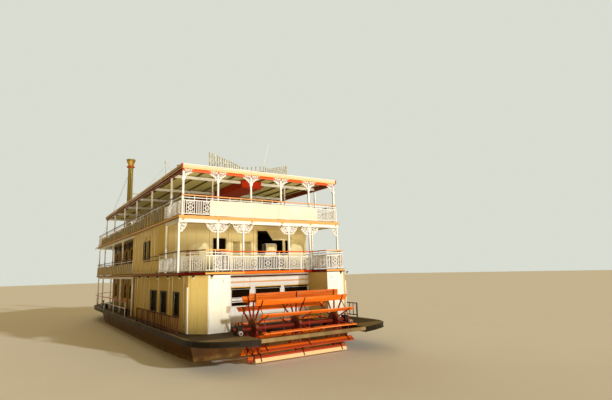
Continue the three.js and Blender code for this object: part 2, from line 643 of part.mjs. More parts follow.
// Stern end of the canopy: a deep beam on six posts, with a tapering bracket at each post head
const STERN_POSTS_UPPER = [-4780, -2900, -960, 960, 2900, 4780];
const BRACKET_LINE = [[410, 10], [300, -130], [170, -220], [60, -360]];
const sternBeamFoot = FRAME_TOP - BEAM_DEPTH;
const sternFrame = [box(-4830, 4830, STERN_POST_LINE - 55, STERN_POST_LINE + 55, sternBeamFoot, FRAME_TOP)];
STERN_POSTS_UPPER.forEach((x) => {
  sternFrame.push(box(x - 45, x + 45, STERN_POST_LINE - 45, STERN_POST_LINE + 45, THIRD_DECK + GAP, postTop));
  sternFrame.push(box(x - 80, x + 80, STERN_POST_LINE - 60, STERN_POST_LINE + 60, sternBeamFoot - 470, sternBeamFoot - 340));
  [-1, 1].filter((side) => Math.abs(x + side * 410) < 4830).forEach((side) => {
    const line = BRACKET_LINE.map(([across, down]) => [x + side * across, sternBeamFoot + down]);
    sternFrame.push(frontPrism(ribbon(line, 34), STERN_POST_LINE - 14, STERN_POST_LINE + 14));
  });
});
place('canopy_stern_frame', join(sternFrame), 'white');

// Duct on the centreline, notched for the crossbeams
const DUCT = { half: 655, y0: 3500, y1: 20500, top: FRAME_TOP - 40, depth: 450 };
const ductBody = box(-DUCT.half, DUCT.half, DUCT.y0, DUCT.y1, DUCT.top - DUCT.depth, DUCT.top);
const ductNotches = COLUMN_STATIONS.filter((y) => y < DUCT.y1).map((y) => (
  box(-1000, 1000, y - CROSS.half - GAP, y + CROSS.half + GAP, CROSS.foot - GAP, DUCT.top + 50)
));
place('ceiling_duct', cut(ductBody, ductNotches), 'red');

// Cloths: a blank banner across the stern rail and weather cloths along both sides
const CLOTH = 14;
const RAIL_BAR_HALF = 18;
const bannerFace = RAIL_LINE - RAIL_BAR_HALF - GAP;
place('stern_banner', box(-3420, 3380, bannerFace - CLOTH, bannerFace, THIRD_DECK + 15, THIRD_DECK + 1000), 'cloth');
const clothFace = 4930 + RAIL_BAR_HALF + GAP;
const sideCloth = box(clothFace, clothFace + CLOTH, 4250, 26400, THIRD_DECK + 25, THIRD_DECK + 930);
place('weather_cloth_port', mirrored(sideCloth), 'cloth');
place('weather_cloth_starboard', sideCloth, 'cloth');
const promenadeFace = 4940 + RAIL_BAR_HALF + GAP;
const promenadeCloth = box(promenadeFace, promenadeFace + CLOTH, 12300, 28200, SECOND_DECK + 25, SECOND_DECK + 830);
place('promenade_cloth_port', mirrored(promenadeCloth), 'cloth');
place('promenade_cloth_starboard', promenadeCloth, 'cloth');

// Funnels with collar and flared crown, and the bar between them
const FUNNEL = { x: 2600, y: 26200, radius: 250, collar: 16280, crown: 16420, top: 17040 };
const funnelProfile = [
  [FUNNEL.radius - 12, THIRD_DECK + GAP], [FUNNEL.radius + 60, THIRD_DECK + GAP], [FUNNEL.radius + 60, THIRD_DECK + 120],
  [FUNNEL.radius, THIRD_DECK + 160], [FUNNEL.radius, FUNNEL.collar - 60], [FUNNEL.radius + 120, FUNNEL.collar],
  [FUNNEL.radius + 120, FUNNEL.collar + 60], [FUNNEL.radius - 20, FUNNEL.crown], [FUNNEL.radius + 20, FUNNEL.crown + 250],
  [FUNNEL.radius + 175, FUNNEL.top], [FUNNEL.radius + 160, FUNNEL.top], [FUNNEL.radius - 12, FUNNEL.crown + 230],
];
const funnel = turned(funnelProfile, FUNNEL.x, FUNNEL.y, 0, 16);
const barHalf = FUNNEL.x - FUNNEL.radius + 8;
const spreader = box(-barHalf, barHalf, FUNNEL.y - 30, FUNNEL.y + 30, 13470, 13530);
place('funnels', join([funnel, mirrored(funnel), spreader]), 'black');

// Steam organ: a V of upright pipes, falling in height to the middle, on a pipe and feet
const ORGAN = { half: 2550, endY: 3550, midY: 2050, endTop: 12080, midTop: 11290, perSide: 13 };
const organ = [];
const organFoot = ROOF_TOP + GAP;
const organLine = [[-ORGAN.half - 60, ORGAN.endY + 35], [0, ORGAN.midY], [ORGAN.half + 60, ORGAN.endY + 35]];
organ.push(strip(organLine, 90, organFoot + 130, organFoot + 210));
for (let pipe = -ORGAN.perSide; pipe <= ORGAN.perSide; pipe += 1) {
  const share = Math.abs(pipe) / ORGAN.perSide;
  const x = pipe / ORGAN.perSide * ORGAN.half;
  const y = ORGAN.midY + (ORGAN.endY - ORGAN.midY) * share;
  const top = ORGAN.midTop + (ORGAN.endTop - ORGAN.midTop) * share;
  organ.push(upright(x, y, 36, organFoot + 190, top, 6));
}
[-1, -0.5, 0, 0.5, 1].forEach((share) => {
  const x = share * ORGAN.half;
  const y = ORGAN.midY + (ORGAN.endY - ORGAN.midY) * Math.abs(share);
  organ.push(box(x - 40, x + 40, y - 40, y + 40, organFoot, organFoot + 150));
});
place('steam_organ', join(organ), 'brass');

// Whip aerial, leaning to starboard, and masthead pole on the roof
const WHIP = { x: 250, y: 2700, length: 2110, lean: 14 };
const whipRod = new THREE.CylinderGeometry(14, 14, WHIP.length, 6);
whipRod.rotateX(Math.PI / 2);
whipRod.translate(0, 0, WHIP.length / 2);
whipRod.rotateY(THREE.MathUtils.degToRad(WHIP.lean));
whipRod.translate(WHIP.x, WHIP.y, ROOF_TOP + 100);
const whip = upright(WHIP.x, WHIP.y, 60, ROOF_TOP + GAP, ROOF_TOP + 150, 10).add(solid(whipRod));
place('whip_aerial', whip, 'white');
const LAMP = { x: 1050, y: 3300, z: ROOF_TOP + 210, radius: 120, half: 90, tilt: 25 };
const drum = new THREE.CylinderGeometry(LAMP.radius, LAMP.radius * 0.7, LAMP.half * 2, 12);
drum.rotateX(THREE.MathUtils.degToRad(180 + LAMP.tilt));
drum.translate(LAMP.x, LAMP.y, LAMP.z);
const floodlight = join([
  solid(drum),
  box(LAMP.x - 70, LAMP.x + 70, LAMP.y - 70, LAMP.y + 70, ROOF_TOP + GAP, ROOF_TOP + 40),
  box(LAMP.x - 15, LAMP.x + 15, LAMP.y - 25, LAMP.y + 25, ROOF_TOP + 30, LAMP.z - 40),
]);
place('floodlight', floodlight, 'black');
const masthead = join([
  upright(0, 22600, 90, ROOF_TOP + GAP, ROOF_TOP + 200, 10),
  upright(0, 22600, 45, ROOF_TOP + 150, 16150, 8),
  upright(0, 22600, 130, 16100, 16400, 10),
]);
place('masthead_pole', masthead, 'white');

// Pilothouse
const PILOT = { half: 1500, y0: 25500, y1: 28300, head: 10450 };
const pilotWalls = box(-PILOT.half, PILOT.half, PILOT.y0, PILOT.y1, THIRD_DECK + GAP, PILOT.head).subtract(
  box(-PILOT.half + 50, PILOT.half - 50, PILOT.y0 + 50, PILOT.y1 - 50, THIRD_DECK - 50, PILOT.head + 50),
);
const pilotSill = THIRD_DECK + 1000;
const pilotHead = THIRD_DECK + 2000;
const pilotCuts = [-1400, -433, 533].map((x) => box(x, x + 867, PILOT.y1 - 100, PILOT.y1 + 100, pilotSill, pilotHead));
const pilotBack = [PILOT.y0 - 100, PILOT.y0 + 100];
pilotCuts.push(box(-1350, -550, ...pilotBack, pilotSill, pilotHead));
pilotCuts.push(box(550, 1350, ...pilotBack, pilotSill, pilotHead));
pilotCuts.push(box(-1600, 1600, 25800, 26800, pilotSill, pilotHead));
pilotCuts.push(box(-1600, 1600, 27050, 28050, pilotSill, pilotHead));
const PILOT_DOOR = { half: 400, head: THIRD_DECK + 1950 };
pilotCuts.push(box(-PILOT_DOOR.half, PILOT_DOOR.half, ...pilotBack, THIRD_DECK - 50, PILOT_DOOR.head));
place('pilothouse', cut(pilotWalls, pilotCuts), 'cream');

const leafHalf = PILOT_DOOR.half - 8;
const pilotDoor = box(-leafHalf, leafHalf, PILOT.y0 + 6, PILOT.y0 + 44, THIRD_DECK + GAP + 8, PILOT_DOOR.head - 8)
  .subtract(box(-leafHalf + 120, leafHalf - 120, ...pilotBack, pilotSill, pilotHead - 200))
  .add(knuckles(-leafHalf, PILOT.y0 + 6, THIRD_DECK));
place('pilot_door', pilotDoor, 'wood');

const roofGeometry = new THREE.CylinderGeometry(500, 2550, 420, 4);
roofGeometry.rotateX(Math.PI / 2);
roofGeometry.rotateZ(Math.PI / 4);
roofGeometry.translate(0, (PILOT.y0 + PILOT.y1) / 2, PILOT.head + GAP + 210);
place('pilothouse_roof', solid(roofGeometry), 'red');

// Steering wheel on its stand
const STEER = { y: 27500, z: THIRD_DECK + 900, radius: 480 };
const rimGeometry = new THREE.TorusGeometry(STEER.radius, 24, 5, 16);
rimGeometry.rotateX(Math.PI / 2);
rimGeometry.translate(0, STEER.y, STEER.z);
const steer = [solid(rimGeometry)];
for (let spoke = 0; spoke < 3; spoke += 1) {
  const bar = new THREE.BoxGeometry(2 * STEER.radius + 220, 26, 26);
  bar.rotateY(spoke * Math.PI / 3);
  bar.translate(0, STEER.y, STEER.z);
  steer.push(solid(bar));
}
const steerHub = new THREE.CylinderGeometry(70, 70, 60, 12);
steerHub.translate(0, STEER.y, STEER.z);
steer.push(solid(steerHub));
place('steering_wheel', join(steer), 'wood');
const stand = join([
  box(-200, 200, STEER.y + 60, STEER.y + 200, THIRD_DECK + GAP, STEER.z + 60),
  box(-40, 40, STEER.y + 30 + GAP, STEER.y + 100, STEER.z - 40, STEER.z + 40),
]);
place('steering_stand', stand, 'wood');

// Capstan on the bow deck
const drumFoot = MAIN_DECK + GAP;
const drumProfile = [
  [0, drumFoot], [300, drumFoot], [300, drumFoot + 90], [170, drumFoot + 240], [170, drumFoot + 480],
  [260, drumFoot + 620], [260, drumFoot + 760], [0, drumFoot + 760],
];
place('capstan', turned(drumProfile, 0, 32500, 0, 16), 'black');

export default group;
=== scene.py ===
import json
import math
import bpy
import bmesh
from mathutils import Vector, Matrix

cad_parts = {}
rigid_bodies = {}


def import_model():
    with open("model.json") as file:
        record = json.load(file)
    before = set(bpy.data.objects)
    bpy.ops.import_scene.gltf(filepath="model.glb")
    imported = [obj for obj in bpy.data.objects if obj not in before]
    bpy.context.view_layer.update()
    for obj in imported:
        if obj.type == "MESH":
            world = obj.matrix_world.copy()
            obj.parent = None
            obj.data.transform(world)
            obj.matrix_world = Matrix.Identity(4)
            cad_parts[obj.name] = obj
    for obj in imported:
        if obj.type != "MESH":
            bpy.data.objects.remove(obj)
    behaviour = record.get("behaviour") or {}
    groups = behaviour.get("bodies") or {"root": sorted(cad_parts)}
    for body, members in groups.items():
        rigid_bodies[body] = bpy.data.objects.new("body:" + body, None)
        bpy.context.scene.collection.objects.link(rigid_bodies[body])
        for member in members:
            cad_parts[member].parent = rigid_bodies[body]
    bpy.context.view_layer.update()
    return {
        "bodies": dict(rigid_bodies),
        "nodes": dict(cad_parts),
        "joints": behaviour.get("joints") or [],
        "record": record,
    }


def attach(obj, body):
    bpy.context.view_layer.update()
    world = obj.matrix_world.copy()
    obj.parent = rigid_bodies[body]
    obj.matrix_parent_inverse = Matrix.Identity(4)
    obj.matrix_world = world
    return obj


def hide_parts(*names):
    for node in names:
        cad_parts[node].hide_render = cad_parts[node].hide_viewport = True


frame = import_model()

nodes = frame["nodes"]
up = Vector((0, 0, 1))
bothSides = ((-1, "port"), (1, "starboard"))

# Heights above the flat of the bottom, in metres, and the stations' origin
levels = {
    "water": 1.2, "main": 2.455, "second": 5.3, "third": 8.165, "roof": 10.831,
    "eaves": 10.584, "origin": 15.0,
}


def st(station):        # station in metres to the frame's Y
    return station - levels["origin"]


# Camera at the photo's viewing angle
photoCamera = {
    "location": (-11.474, -34.826, 5.229), "yaw": 33.46, "pitch": 9.318, "roll": -1.56,
    "lens": 25.376, "sensor": 36.0, "reach": 900,
}


def makeCamera(look):
    yaw, pitch, roll = (math.radians(look[key]) for key in ("yaw", "pitch", "roll"))
    ahead = Vector((math.sin(yaw) * math.cos(pitch), math.cos(yaw) * math.cos(pitch), math.sin(pitch)))
    level = Vector((math.cos(yaw), -math.sin(yaw), 0))
    above = level.cross(ahead)
    side = level * math.cos(roll) + above * math.sin(roll)
    top = above * math.cos(roll) - level * math.sin(roll)
    data = bpy.data.cameras.new("photoCamera")
    data.lens, data.sensor_width, data.clip_end = look["lens"], look["sensor"], look["reach"]
    camera = bpy.data.objects.new("photoCamera", data)
    bpy.context.scene.collection.objects.link(camera)
    turn = Matrix((side, top, -ahead)).transposed().to_4x4()
    camera.matrix_world = Matrix.Translation(look["location"]) @ turn
    bpy.context.scene.camera = camera


makeCamera(photoCamera)
print("camera set")


# Shader building: one small object that keeps a node tree and wires it
class Wiring:
    def __init__(self, tree):
        self.tree = tree
        self.column = 0

    def node(self, kind, **settings):
        made = self.tree.nodes.new(kind)
        self.column += 1
        made.location = (180 * (self.column % 9) - 1500, -220 * (self.column // 9))
        for key, value in settings.items():
            setattr(made, key, value)
        return made

    def feed(self, value, socket):      # another socket, a number, a colour or the name of a paint
        if isinstance(value, str):
            value = paints[value]
        if isinstance(value, bpy.types.NodeSocket):
            self.tree.links.new(value, socket)
        elif isinstance(value, (tuple, list)) and len(value) == 3 and socket.type == "RGBA":
            socket.default_value = (*value, 1.0)
        else:
            socket.default_value = value

    def math(self, operation, *values, clamp=False):
        made = self.node("ShaderNodeMath", operation=operation, use_clamp=clamp)
        for value, socket in zip(values, made.inputs):
            self.feed(value, socket)
        return made.outputs[0]

    def times(self, first, *others):
        for other in others:
            first = self.math("MULTIPLY", first, other)
        return first

    def plus(self, a, b, clamp=False):
        return self.math("ADD", a, b, clamp=clamp)

    def minus(self, a, b):
        return self.math("SUBTRACT", a, b)

    def scaled(self, a, factor, shift):
        return self.math("MULTIPLY_ADD", a, factor, shift)

    def size(self, a):
        return self.math("ABSOLUTE", a)

    def over(self, a, edge):
        return self.math("GREATER_THAN", a, edge)

    def under(self, a, edge):
        return self.math("LESS_THAN", a, edge)

    def span(self, value, low, high, toLow=0.0, toHigh=1.0):
        made = self.node("ShaderNodeMapRange", interpolation_type="SMOOTHSTEP")
        for given, socket in zip((value, low, high, toLow, toHigh), made.inputs):
            self.feed(given, socket)
        return made.outputs[0]

    def blend(self, share, a, b, how="MIX"):
        made = self.node("ShaderNodeMix", data_type="RGBA", blend_type=how)
        for given, socket in zip((share, a, b), (made.inputs[0], made.inputs[6], made.inputs[7])):
            self.feed(given, socket)
        return made.outputs[2]

    def parted(self, vector):
        parts = self.node("ShaderNodeSeparateXYZ")
        self.feed(vector, parts.inputs[0])
        return parts.outputs[:3]

    def place(self):        # object coordinates and their three parts
        made = self.node("ShaderNodeTexCoord").outputs["Object"]
        return made, *self.parted(made)

    def facing(self):       # the surface's direction in three parts
        return self.parted(self.node("ShaderNodeNewGeometry").outputs["True Normal"])

    def stretched(self, where, scale):
        mapping = self.node("ShaderNodeMapping")
        self.feed(where, mapping.inputs["Vector"])
        mapping.inputs["Scale"].default_value = scale
        return mapping.outputs[0]

    def noise(self, where, scale, detail=4.0, rough=0.55, stretch=(1, 1, 1)):
        where = self.stretched(where, stretch)
        made = self.node("ShaderNodeTexNoise")
        for key, value in (("Vector", where), ("Scale", scale), ("Detail", detail), ("Roughness", rough)):
            self.feed(value, made.inputs[key])
        return made.outputs[0]

    def group(self, tree, **given):
        made = self.node("ShaderNodeGroup", node_tree=tree)
        for key, value in given.items():
            self.feed(value, made.inputs[key])
        return made.outputs

    def aged(self, paint, faded, grime, fade, streaks):
        return self.group(paintAge, Paint=paint, Faded=faded, Grime=grime, Fade=fade, Streaks=streaks)


def newGroup(name, takes, gives):
    tree = bpy.data.node_groups.new(name, "ShaderNodeTree")
    for label, value in takes.items():
        kind = "Float" if isinstance(value, float) else "Color" if len(value) == 4 else "Vector"
        socket = tree.interface.new_socket(label, in_out="INPUT", socket_type="NodeSocket" + kind)
        socket.default_value = value
    for label in gives:
        kind = "Color" if label == "Colour" else "Float"
        tree.interface.new_socket(label, in_out="OUTPUT", socket_type="NodeSocket" + kind)
    work = Wiring(tree)
    return tree, work, work.node("NodeGroupInput").outputs, work.node("NodeGroupOutput").inputs


def paintAgeGroup():        # fading, run-off streaks and fine unevenness of old paint
    tree, work, given, out = newGroup(
        "paintAge",
        {"Paint": (0.8, 0.8, 0.8, 1), "Faded": (0.9, 0.9, 0.9, 1), "Grime": (0.2, 0.17, 0.1, 1),
         "Fade": 0.5, "Streaks": 0.3, "Grain": 24.0},
        ("Colour", "Roughness", "Height"),
    )
    where = work.place()[0]
    broad = work.span(work.noise(where, 0.45, 5.0, 0.6), 0.38, 0.66)
    fading = work.times(broad, given["Fade"])
    colour = work.blend(fading, given["Paint"], given["Faded"])
    run = work.span(work.noise(where, 1.5, 5.0, 0.6, (5.5, 5.5, 0.45)), 0.52, 0.78)
    patch = work.span(work.noise(where, 0.8, 3.0), 0.4, 0.65)
    runs = work.times(run, patch, given["Streaks"])
    colour = work.blend(runs, colour, given["Grime"])
    fine = work.noise(where, given["Grain"], 3.0)
    tone = work.node("ShaderNodeCombineColor")
    shade = work.span(fine, 0.25, 0.75, 0.93, 1.05)
    for socket in tone.inputs[:3]:
        work.feed(shade, socket)
    work.feed(work.blend(1.0, colour, tone.outputs[0], "MULTIPLY"), out["Colour"])
    rough = work.plus(work.times(fading, 0.18), work.times(runs, 0.4))
    work.feed(work.scaled(fine, 0.08, rough), out["Roughness"])
    work.feed(work.scaled(fine, 0.4, work.times(run, -0.3)), out["Height"])
    return tree


def seamGroup():            # thin straight joints at an even pitch along one coordinate
    tree, work, given, out = newGroup(
        "seamLines", {"Along": 0.0, "Pitch": 1.0, "Width": 0.02, "Shift": 0.0}, ("Line", "Height"))
    turns = work.math("DIVIDE", work.plus(given["Along"], given["Shift"]), given["Pitch"])
    part = work.size(work.minus(work.math("FRACT", turns), 0.5))
    line = work.span(work.times(part, given["Pitch"]), 0.0, given["Width"], 1.0, 0.0)
    work.feed(line, out["Line"])
    work.feed(work.minus(1.0, line), out["Height"])
    return tree


def plankGroup():           # long wood grain between a light and a dark tone
    tree, work, given, out = newGroup(
        "plankGrain",
        {"Along": (0, 0, 0), "Light": (0.5, 0.3, 0.15, 1), "Dark": (0.25, 0.12, 0.05, 1), "Scale": 3.0},
        ("Colour", "Roughness", "Height"),
    )
    made = work.node("ShaderNodeTexNoise")
    settings = {"Vector": given["Along"], "Scale": given["Scale"], "Detail": 6.0, "Distortion": 0.6}
    for key, value in settings.items():
        work.feed(value, made.inputs[key])
    grain = work.span(made.outputs[0], 0.3, 0.7)
    work.feed(work.blend(grain, given["Light"], given["Dark"]), out["Colour"])
    work.feed(work.scaled(grain, 0.2, 0.4), out["Roughness"])
    work.feed(grain, out["Height"])
    return tree


paintAge, seamLines, plankGrain = paintAgeGroup(), seamGroup(), plankGroup()


class Surface(Wiring):      # a material and its Principled shader, constants set on the sockets
    def __init__(self, name, **shader):
        self.material = bpy.data.materials.new(name)
        self.material.use_nodes = True
        super().__init__(self.material.node_tree)
        self.sockets = next(n for n in self.tree.nodes if n.type == "BSDF_PRINCIPLED").inputs
        # chalky paint, with little shine at a glance unless the material says otherwise
        for key, value in {"Specular_IOR_Level": 0.12, **shader}.items():
            self.sockets[key.replace("_", " ")].default_value = value

    def coat(self, share, tone):
        self.colour = self.blend(share, self.colour, tone)

    def done(self, colour, rough, height=None, strength=0.3, distance=0.004):
        self.feed(colour, self.sockets["Base Color"])
        self.feed(rough, self.sockets["Roughness"])
        if height is not None:
            bump = self.node("ShaderNodeBump")
            for key, value in (("Strength", strength), ("Distance", distance), ("Height", height)):
                self.feed(value, bump.inputs[key])
            self.feed(bump.outputs[0], self.sockets["Normal"])
        return self.material


def dim(colour, share):
    return [c * share for c in colour]


def agedPaint(name, paint, faded, grime, rough=0.34, shine=0.12, fade=0.6, streaks=0.35, **shader):
    work = Surface(name, Specular_IOR_Level=shine, **shader)
    age = work.aged(paint, faded, grime, fade, streaks)
    return work.done(age["Colour"], work.plus(age["Roughness"], rough, clamp=True), age["Height"], 0.25)


# Paint colours, in linear light; some are sunlit or shaded copies of one paint, painted shade or highlights
paints = {
    "cream": (0.72, 0.55, 0.18), "creamFaded": (0.77, 0.61, 0.24), "creamGrime": (0.34, 0.24, 0.10),
    "sunlitCream": (0.94, 0.92, 0.79), "sunlitCreamFaded": (0.92, 0.89, 0.75), "paleGrime": (0.50, 0.36, 0.16),
    "sunlitSternCream": (0.93, 0.82, 0.46), "railShade": (0.20, 0.14, 0.05), "beamShade": (0.30, 0.20, 0.07),
    "sideGold": (0.42, 0.27, 0.004), "foreShade": (0.42, 0.27, 0.06), "foreShadeDim": (0.30, 0.18, 0.04),
    "headShade": (0.07, 0.040, 0.012), "joint": (0.30, 0.22, 0.11), "wallDirt": (0.24, 0.18, 0.09),
    "white": (0.82, 0.83, 0.84), "whiteFaded": (0.79, 0.77, 0.72), "whiteGrime": (0.30, 0.20, 0.09),
    "coral": (0.76, 0.38, 0.13), "ochre": (0.62, 0.34, 0.020), "orange": (0.98, 0.44, 0.09),
    "shutter": (0.98, 0.87, 0.52), "boardRed": (0.94, 0.215, 0.002), "boardDark": (0.66, 0.100, 0.004),
    "boardWorn": (0.62, 0.34, 0.15), "boardShade": (0.30, 0.02, 0.008), "armRed": (0.25, 0.012, 0.004),
    "armFaded": (0.32, 0.022, 0.007), "armGrime": (0.03, 0.008, 0.004), "hubRed": (0.16, 0.009, 0.003),
    "hubDark": (0.08, 0.006, 0.003), "hubRustAndHighlight": (0.30, 0.10, 0.014), "deck": (0.060, 0.042, 0.016),
    "footShadeAndDirt": (0.02, 0.014, 0.008), "black": (0.012, 0.008, 0.004), "bone": (0.78, 0.55, 0.28),
    "salmon": (0.84, 0.42, 0.13), "roofPale": (0.74, 0.61, 0.41), "roofPaleFaded": (0.73, 0.61, 0.42),
    "roofGrime": (0.36, 0.24, 0.10), "roofLip": (0.80, 0.56, 0.40), "roofLine": (0.46, 0.36, 0.12),
    "sheetLight": (0.50, 0.46, 0.36), "sheetDark": (0.36, 0.33, 0.25), "sheetSeam": (0.2, 0.18, 0.13),
    "ceilingOlive": (0.82, 0.78, 0.34), "ceilingPale": (0.88, 0.84, 0.44), "rib": (0.40, 0.31, 0.08),
    "eave": (0.045, 0.008, 0.002), "sideBeam": (0.20, 0.022, 0.006), "sternBeam": (0.84, 0.095, 0.001),
    "hull": (0.052, 0.022, 0.003), "hullFaded": (0.12, 0.048, 0.006), "hullRust": (0.22, 0.065, 0.008),
    "scum": (0.19, 0.12, 0.035), "bottomRed": (0.10, 0.022, 0.014),
}


# Where the walls change: the long sides lie outside outerFrom, the fore houses inside innerTo
wallShade = {"split": 5.2, "outerFrom": 4.6, "innerTo": 3.9, "foreFrom": 12.15, "headFrom": 7.40,
             "plate": 1.22}


def wallPaint(shape):       # cream plates with upright joints and dirt by the deck, painted sunlight toward the stern, painted shade elsewhere
    work = Surface("creamWall")
    where, x, y, z = work.place()
    across, ahead, rise = work.facing()
    outward, onSide = work.size(x), work.over(work.size(across), 0.5)
    above, below = work.over(z, shape["split"]), work.under(z, shape["split"])
    belowThird = work.under(z, levels["third"])
    age = work.aged("cream", "creamFaded", "creamGrime", 0.7, 0.5)
    pale = work.aged("sunlitCream", "sunlitCreamFaded", "paleGrime", 0.7, 0.4)
    along = work.plus(work.times(y, onSide), work.times(x, work.minus(1.0, onSide)))
    seams = work.group(seamLines, Along=along, Pitch=shape["plate"], Width=0.012, Shift=0.31)
    # painted light: faces toward the stern take paler, whiter sunlit copies of the cream; other faces keep
    # the plain cream, the shaded copy
    towardStern = work.span(ahead, -0.80, -0.15, 1.0, 0.0)
    upperLightAndShade = work.blend(work.noise(where, 0.8), "sunlitSternCream", dim(paints["sunlitSternCream"], 0.94))
    # painted shade on the stern-facing walls above: behind the rail, and under the third deck
    upperLightAndShade = work.blend(work.span(z, 5.45, 6.25, 0.78, 0.0), upperLightAndShade, "railShade")
    upperLightAndShade = work.blend(work.span(z, 7.30, 7.80, 0.0, 0.62), upperLightAndShade, "beamShade")
    work.colour = work.blend(work.times(towardStern, above), age["Colour"], upperLightAndShade)
    work.coat(work.times(work.over(towardStern, 0.99), below), pale["Colour"])
    # painted shade: the long sides darken to a dull gold-olive away from the stern
    outer = work.times(work.over(outward, shape["outerFrom"]), belowThird, onSide)
    lower = work.times(work.span(y, st(0.6), st(3.6), 0.0, 0.34), below)
    sideShadeShare = work.plus(work.span(y, st(0.4), st(1.2), 0.0, 0.40), lower)
    work.coat(work.times(outer, sideShadeShare), "sideGold")
    # painted shade on the fore houses under the promenade, darkest above headFrom
    inner = work.times(work.over(y, st(shape["foreFrom"])), work.under(outward, shape["innerTo"]), belowThird)
    foreShadeTone = work.blend(work.noise(where, 1.1, 5.0), "foreShade", "foreShadeDim")
    foreShadeTone = work.blend(work.over(z, shape["headFrom"]), foreShadeTone, "headShade")
    work.coat(inner, foreShadeTone)
    work.coat(work.times(seams["Line"], 0.45), "joint")
    for foot in (levels["main"], levels["second"]):
        near = work.span(work.size(work.minus(z, foot)), 0.02, 0.42, 0.45, 0.0)
        work.coat(work.times(near, work.noise(where, 3.0)), "wallDirt")
    rough = work.plus(age["Roughness"], 0.3, clamp=True)
    return work.done(work.colour, rough, work.scaled(age["Height"], 0.12, seams["Height"]), 0.5, 0.006)


# Walking surface on top and painted edges below: one colour along the sides, another across the stern that
# changes at given places, one on the short returns of the stern wings, and sunned planks at the margin.
# On the second deck these are painted light and shade on one red-orange paint: bright orange on the sunlit
# stern, deeper red across the middle with a dark band by the starboard wing, dark sides and wing returns in
# shade; it also turns golden forward
decks = {
    "main": {"side": paints["black"], "aft": paints["black"], "under": (0.03, 0.03, 0.026),
             "top": paints["deck"], "margin": (0.22, 0.16, 0.060)},
    "second": {"side": (0.28, 0.075, 0.002), "aft": paints["orange"], "under": (0.56, 0.44, 0.20),
               "top": paints["deck"], "wing": (0.20, 0.004, 0.001), "fore": (0.58, 0.30, 0.015),
               "across": ((-1.44, (0.98, 0.20, 0.002)), (2.3, (0.50, 0.04, 0.004)), (2.9, paints["orange"]))},
    "third": {"side": paints["ochre"], "aft": paints["coral"], "under": (0.60, 0.48, 0.22),
              "top": (0.80, 0.72, 0.46)},
}


def deckPaint(word):
    deck = decks[word]
    work = Surface(word + "DeckPaint", IOR=1.48)
    where, x, y, z = work.place()
    sideways, fore, rise = work.facing()
    outward, flat = work.size(x), work.over(rise, 0.6)
    age = work.aged(deck["aft"], dim(deck["aft"], 1.12), (0.12, 0.06, 0.03), 0.6, 0.35)
    side = work.aged(deck["side"], dim(deck["side"], 1.15), (0.10, 0.06, 0.03), 0.6, 0.4)
    isSide = work.over(work.size(sideways), 0.4)
    aft, along = age["Colour"], side["Colour"]
    # second deck: the steps across the stern are painted light and shade on one paint
    for edge, tone in deck.get("across", ()):
        aft = work.blend(work.over(x, edge), aft, tone)
    if "fore" in deck:
        along = work.blend(work.span(y, st(10.5), st(13.0)), along, deck["fore"])
        aft = work.blend(work.over(y, st(13.0)), aft, deck["fore"])
    work.colour = work.blend(isSide, aft, along)
    # second deck: the wing returns painted dark as shade
    if "wing" in deck:
        work.coat(work.times(isSide, work.under(y, st(1.46))), deck["wing"])
    wear = work.span(work.noise(where, 1.7, 6.0, 0.65), 0.4, 0.62)
    tread = work.blend(wear, deck["top"], dim(deck["top"], 0.72))
    grit = work.noise(where, 90.0, 2.0)
    if "margin" in deck:        # with painted shade and dirt along the foot of the walls
        outer = work.math("MAXIMUM", work.span(y, st(-2.0), st(-1.5), 1.0, 0.0), work.over(outward, 5.26))
        tread = work.blend(outer, tread, deck["margin"])
        behind = work.span(work.size(work.minus(y, st(-0.04))), 0.05, 0.16, 0.85, 0.0)
        beside = work.span(work.size(work.minus(outward, 4.80)), 0.06, 0.24, 0.9, 0.0)
        beside = work.math("MAXIMUM", behind, work.times(work.over(y, st(0.2)), beside))
        tread = work.blend(beside, tread, "footShadeAndDirt")
    tread = work.blend(work.span(grit, 0.35, 0.7, 0.0, 0.35), tread, dim(deck["top"], 1.25))
    work.coat(flat, tread)
    work.coat(work.under(rise, -0.6), deck["under"])
    rough = work.scaled(flat, 0.35, work.plus(age["Roughness"], 0.34))
    return work.done(work.colour, rough, work.times(grit, work.scaled(flat, 0.9, 0.1)))


# White posts and bars under a top rail of up to three colours; the dark tone along the long sides is painted
# shade
railTops = {
    "second": {"foot": "second", "top": (0.74, 0.10, 0.008), "side": (0.10, 0.022, 0.008), "sideFrom": 4.14,
               "wing": paints["salmon"]},
    "third": {"foot": "third", "top": (0.80, 0.38, 0.15), "side": (0.10, 0.024, 0.008), "sideFrom": 4.89},
    "bow": {"foot": "main", "top": (0.55, 0.07, 0.02)},
}


def railPaint(word):
    rail = railTops[word]
    work = Surface(word + "RailPaint")
    where, x, y, z = work.place()
    age = work.aged("white", "whiteFaded", "whiteGrime", 0.6, 0.45)
    top = work.aged(rail["top"], dim(rail["top"], 0.8), (0.1, 0.05, 0.02), 0.8, 0.2)["Colour"]
    if "wing" in rail:
        top = work.blend(work.under(y, st(0.12)), top, rail["wing"])
    if "side" in rail:
        # painted shade: the top rail goes dark along the long sides
        top = work.blend(work.over(work.size(x), rail["sideFrom"]), top, rail["side"])
    work.colour = work.blend(work.over(z, levels[rail["foot"]] + 1.01), age["Colour"], top)
    return work.done(work.colour, work.plus(age["Roughness"], 0.3), age["Height"], 0.3, 0.003)


wheelFacts = {"y": st(-1.27), "z": 2.69, "radius": 1.57, "boards": 12, "phase": 26.5,
              "spiders": (-2.32, 0.0, 2.32), "boardsFrom": 1.262, "hubTo": 0.47, "limeAt": -63.5}


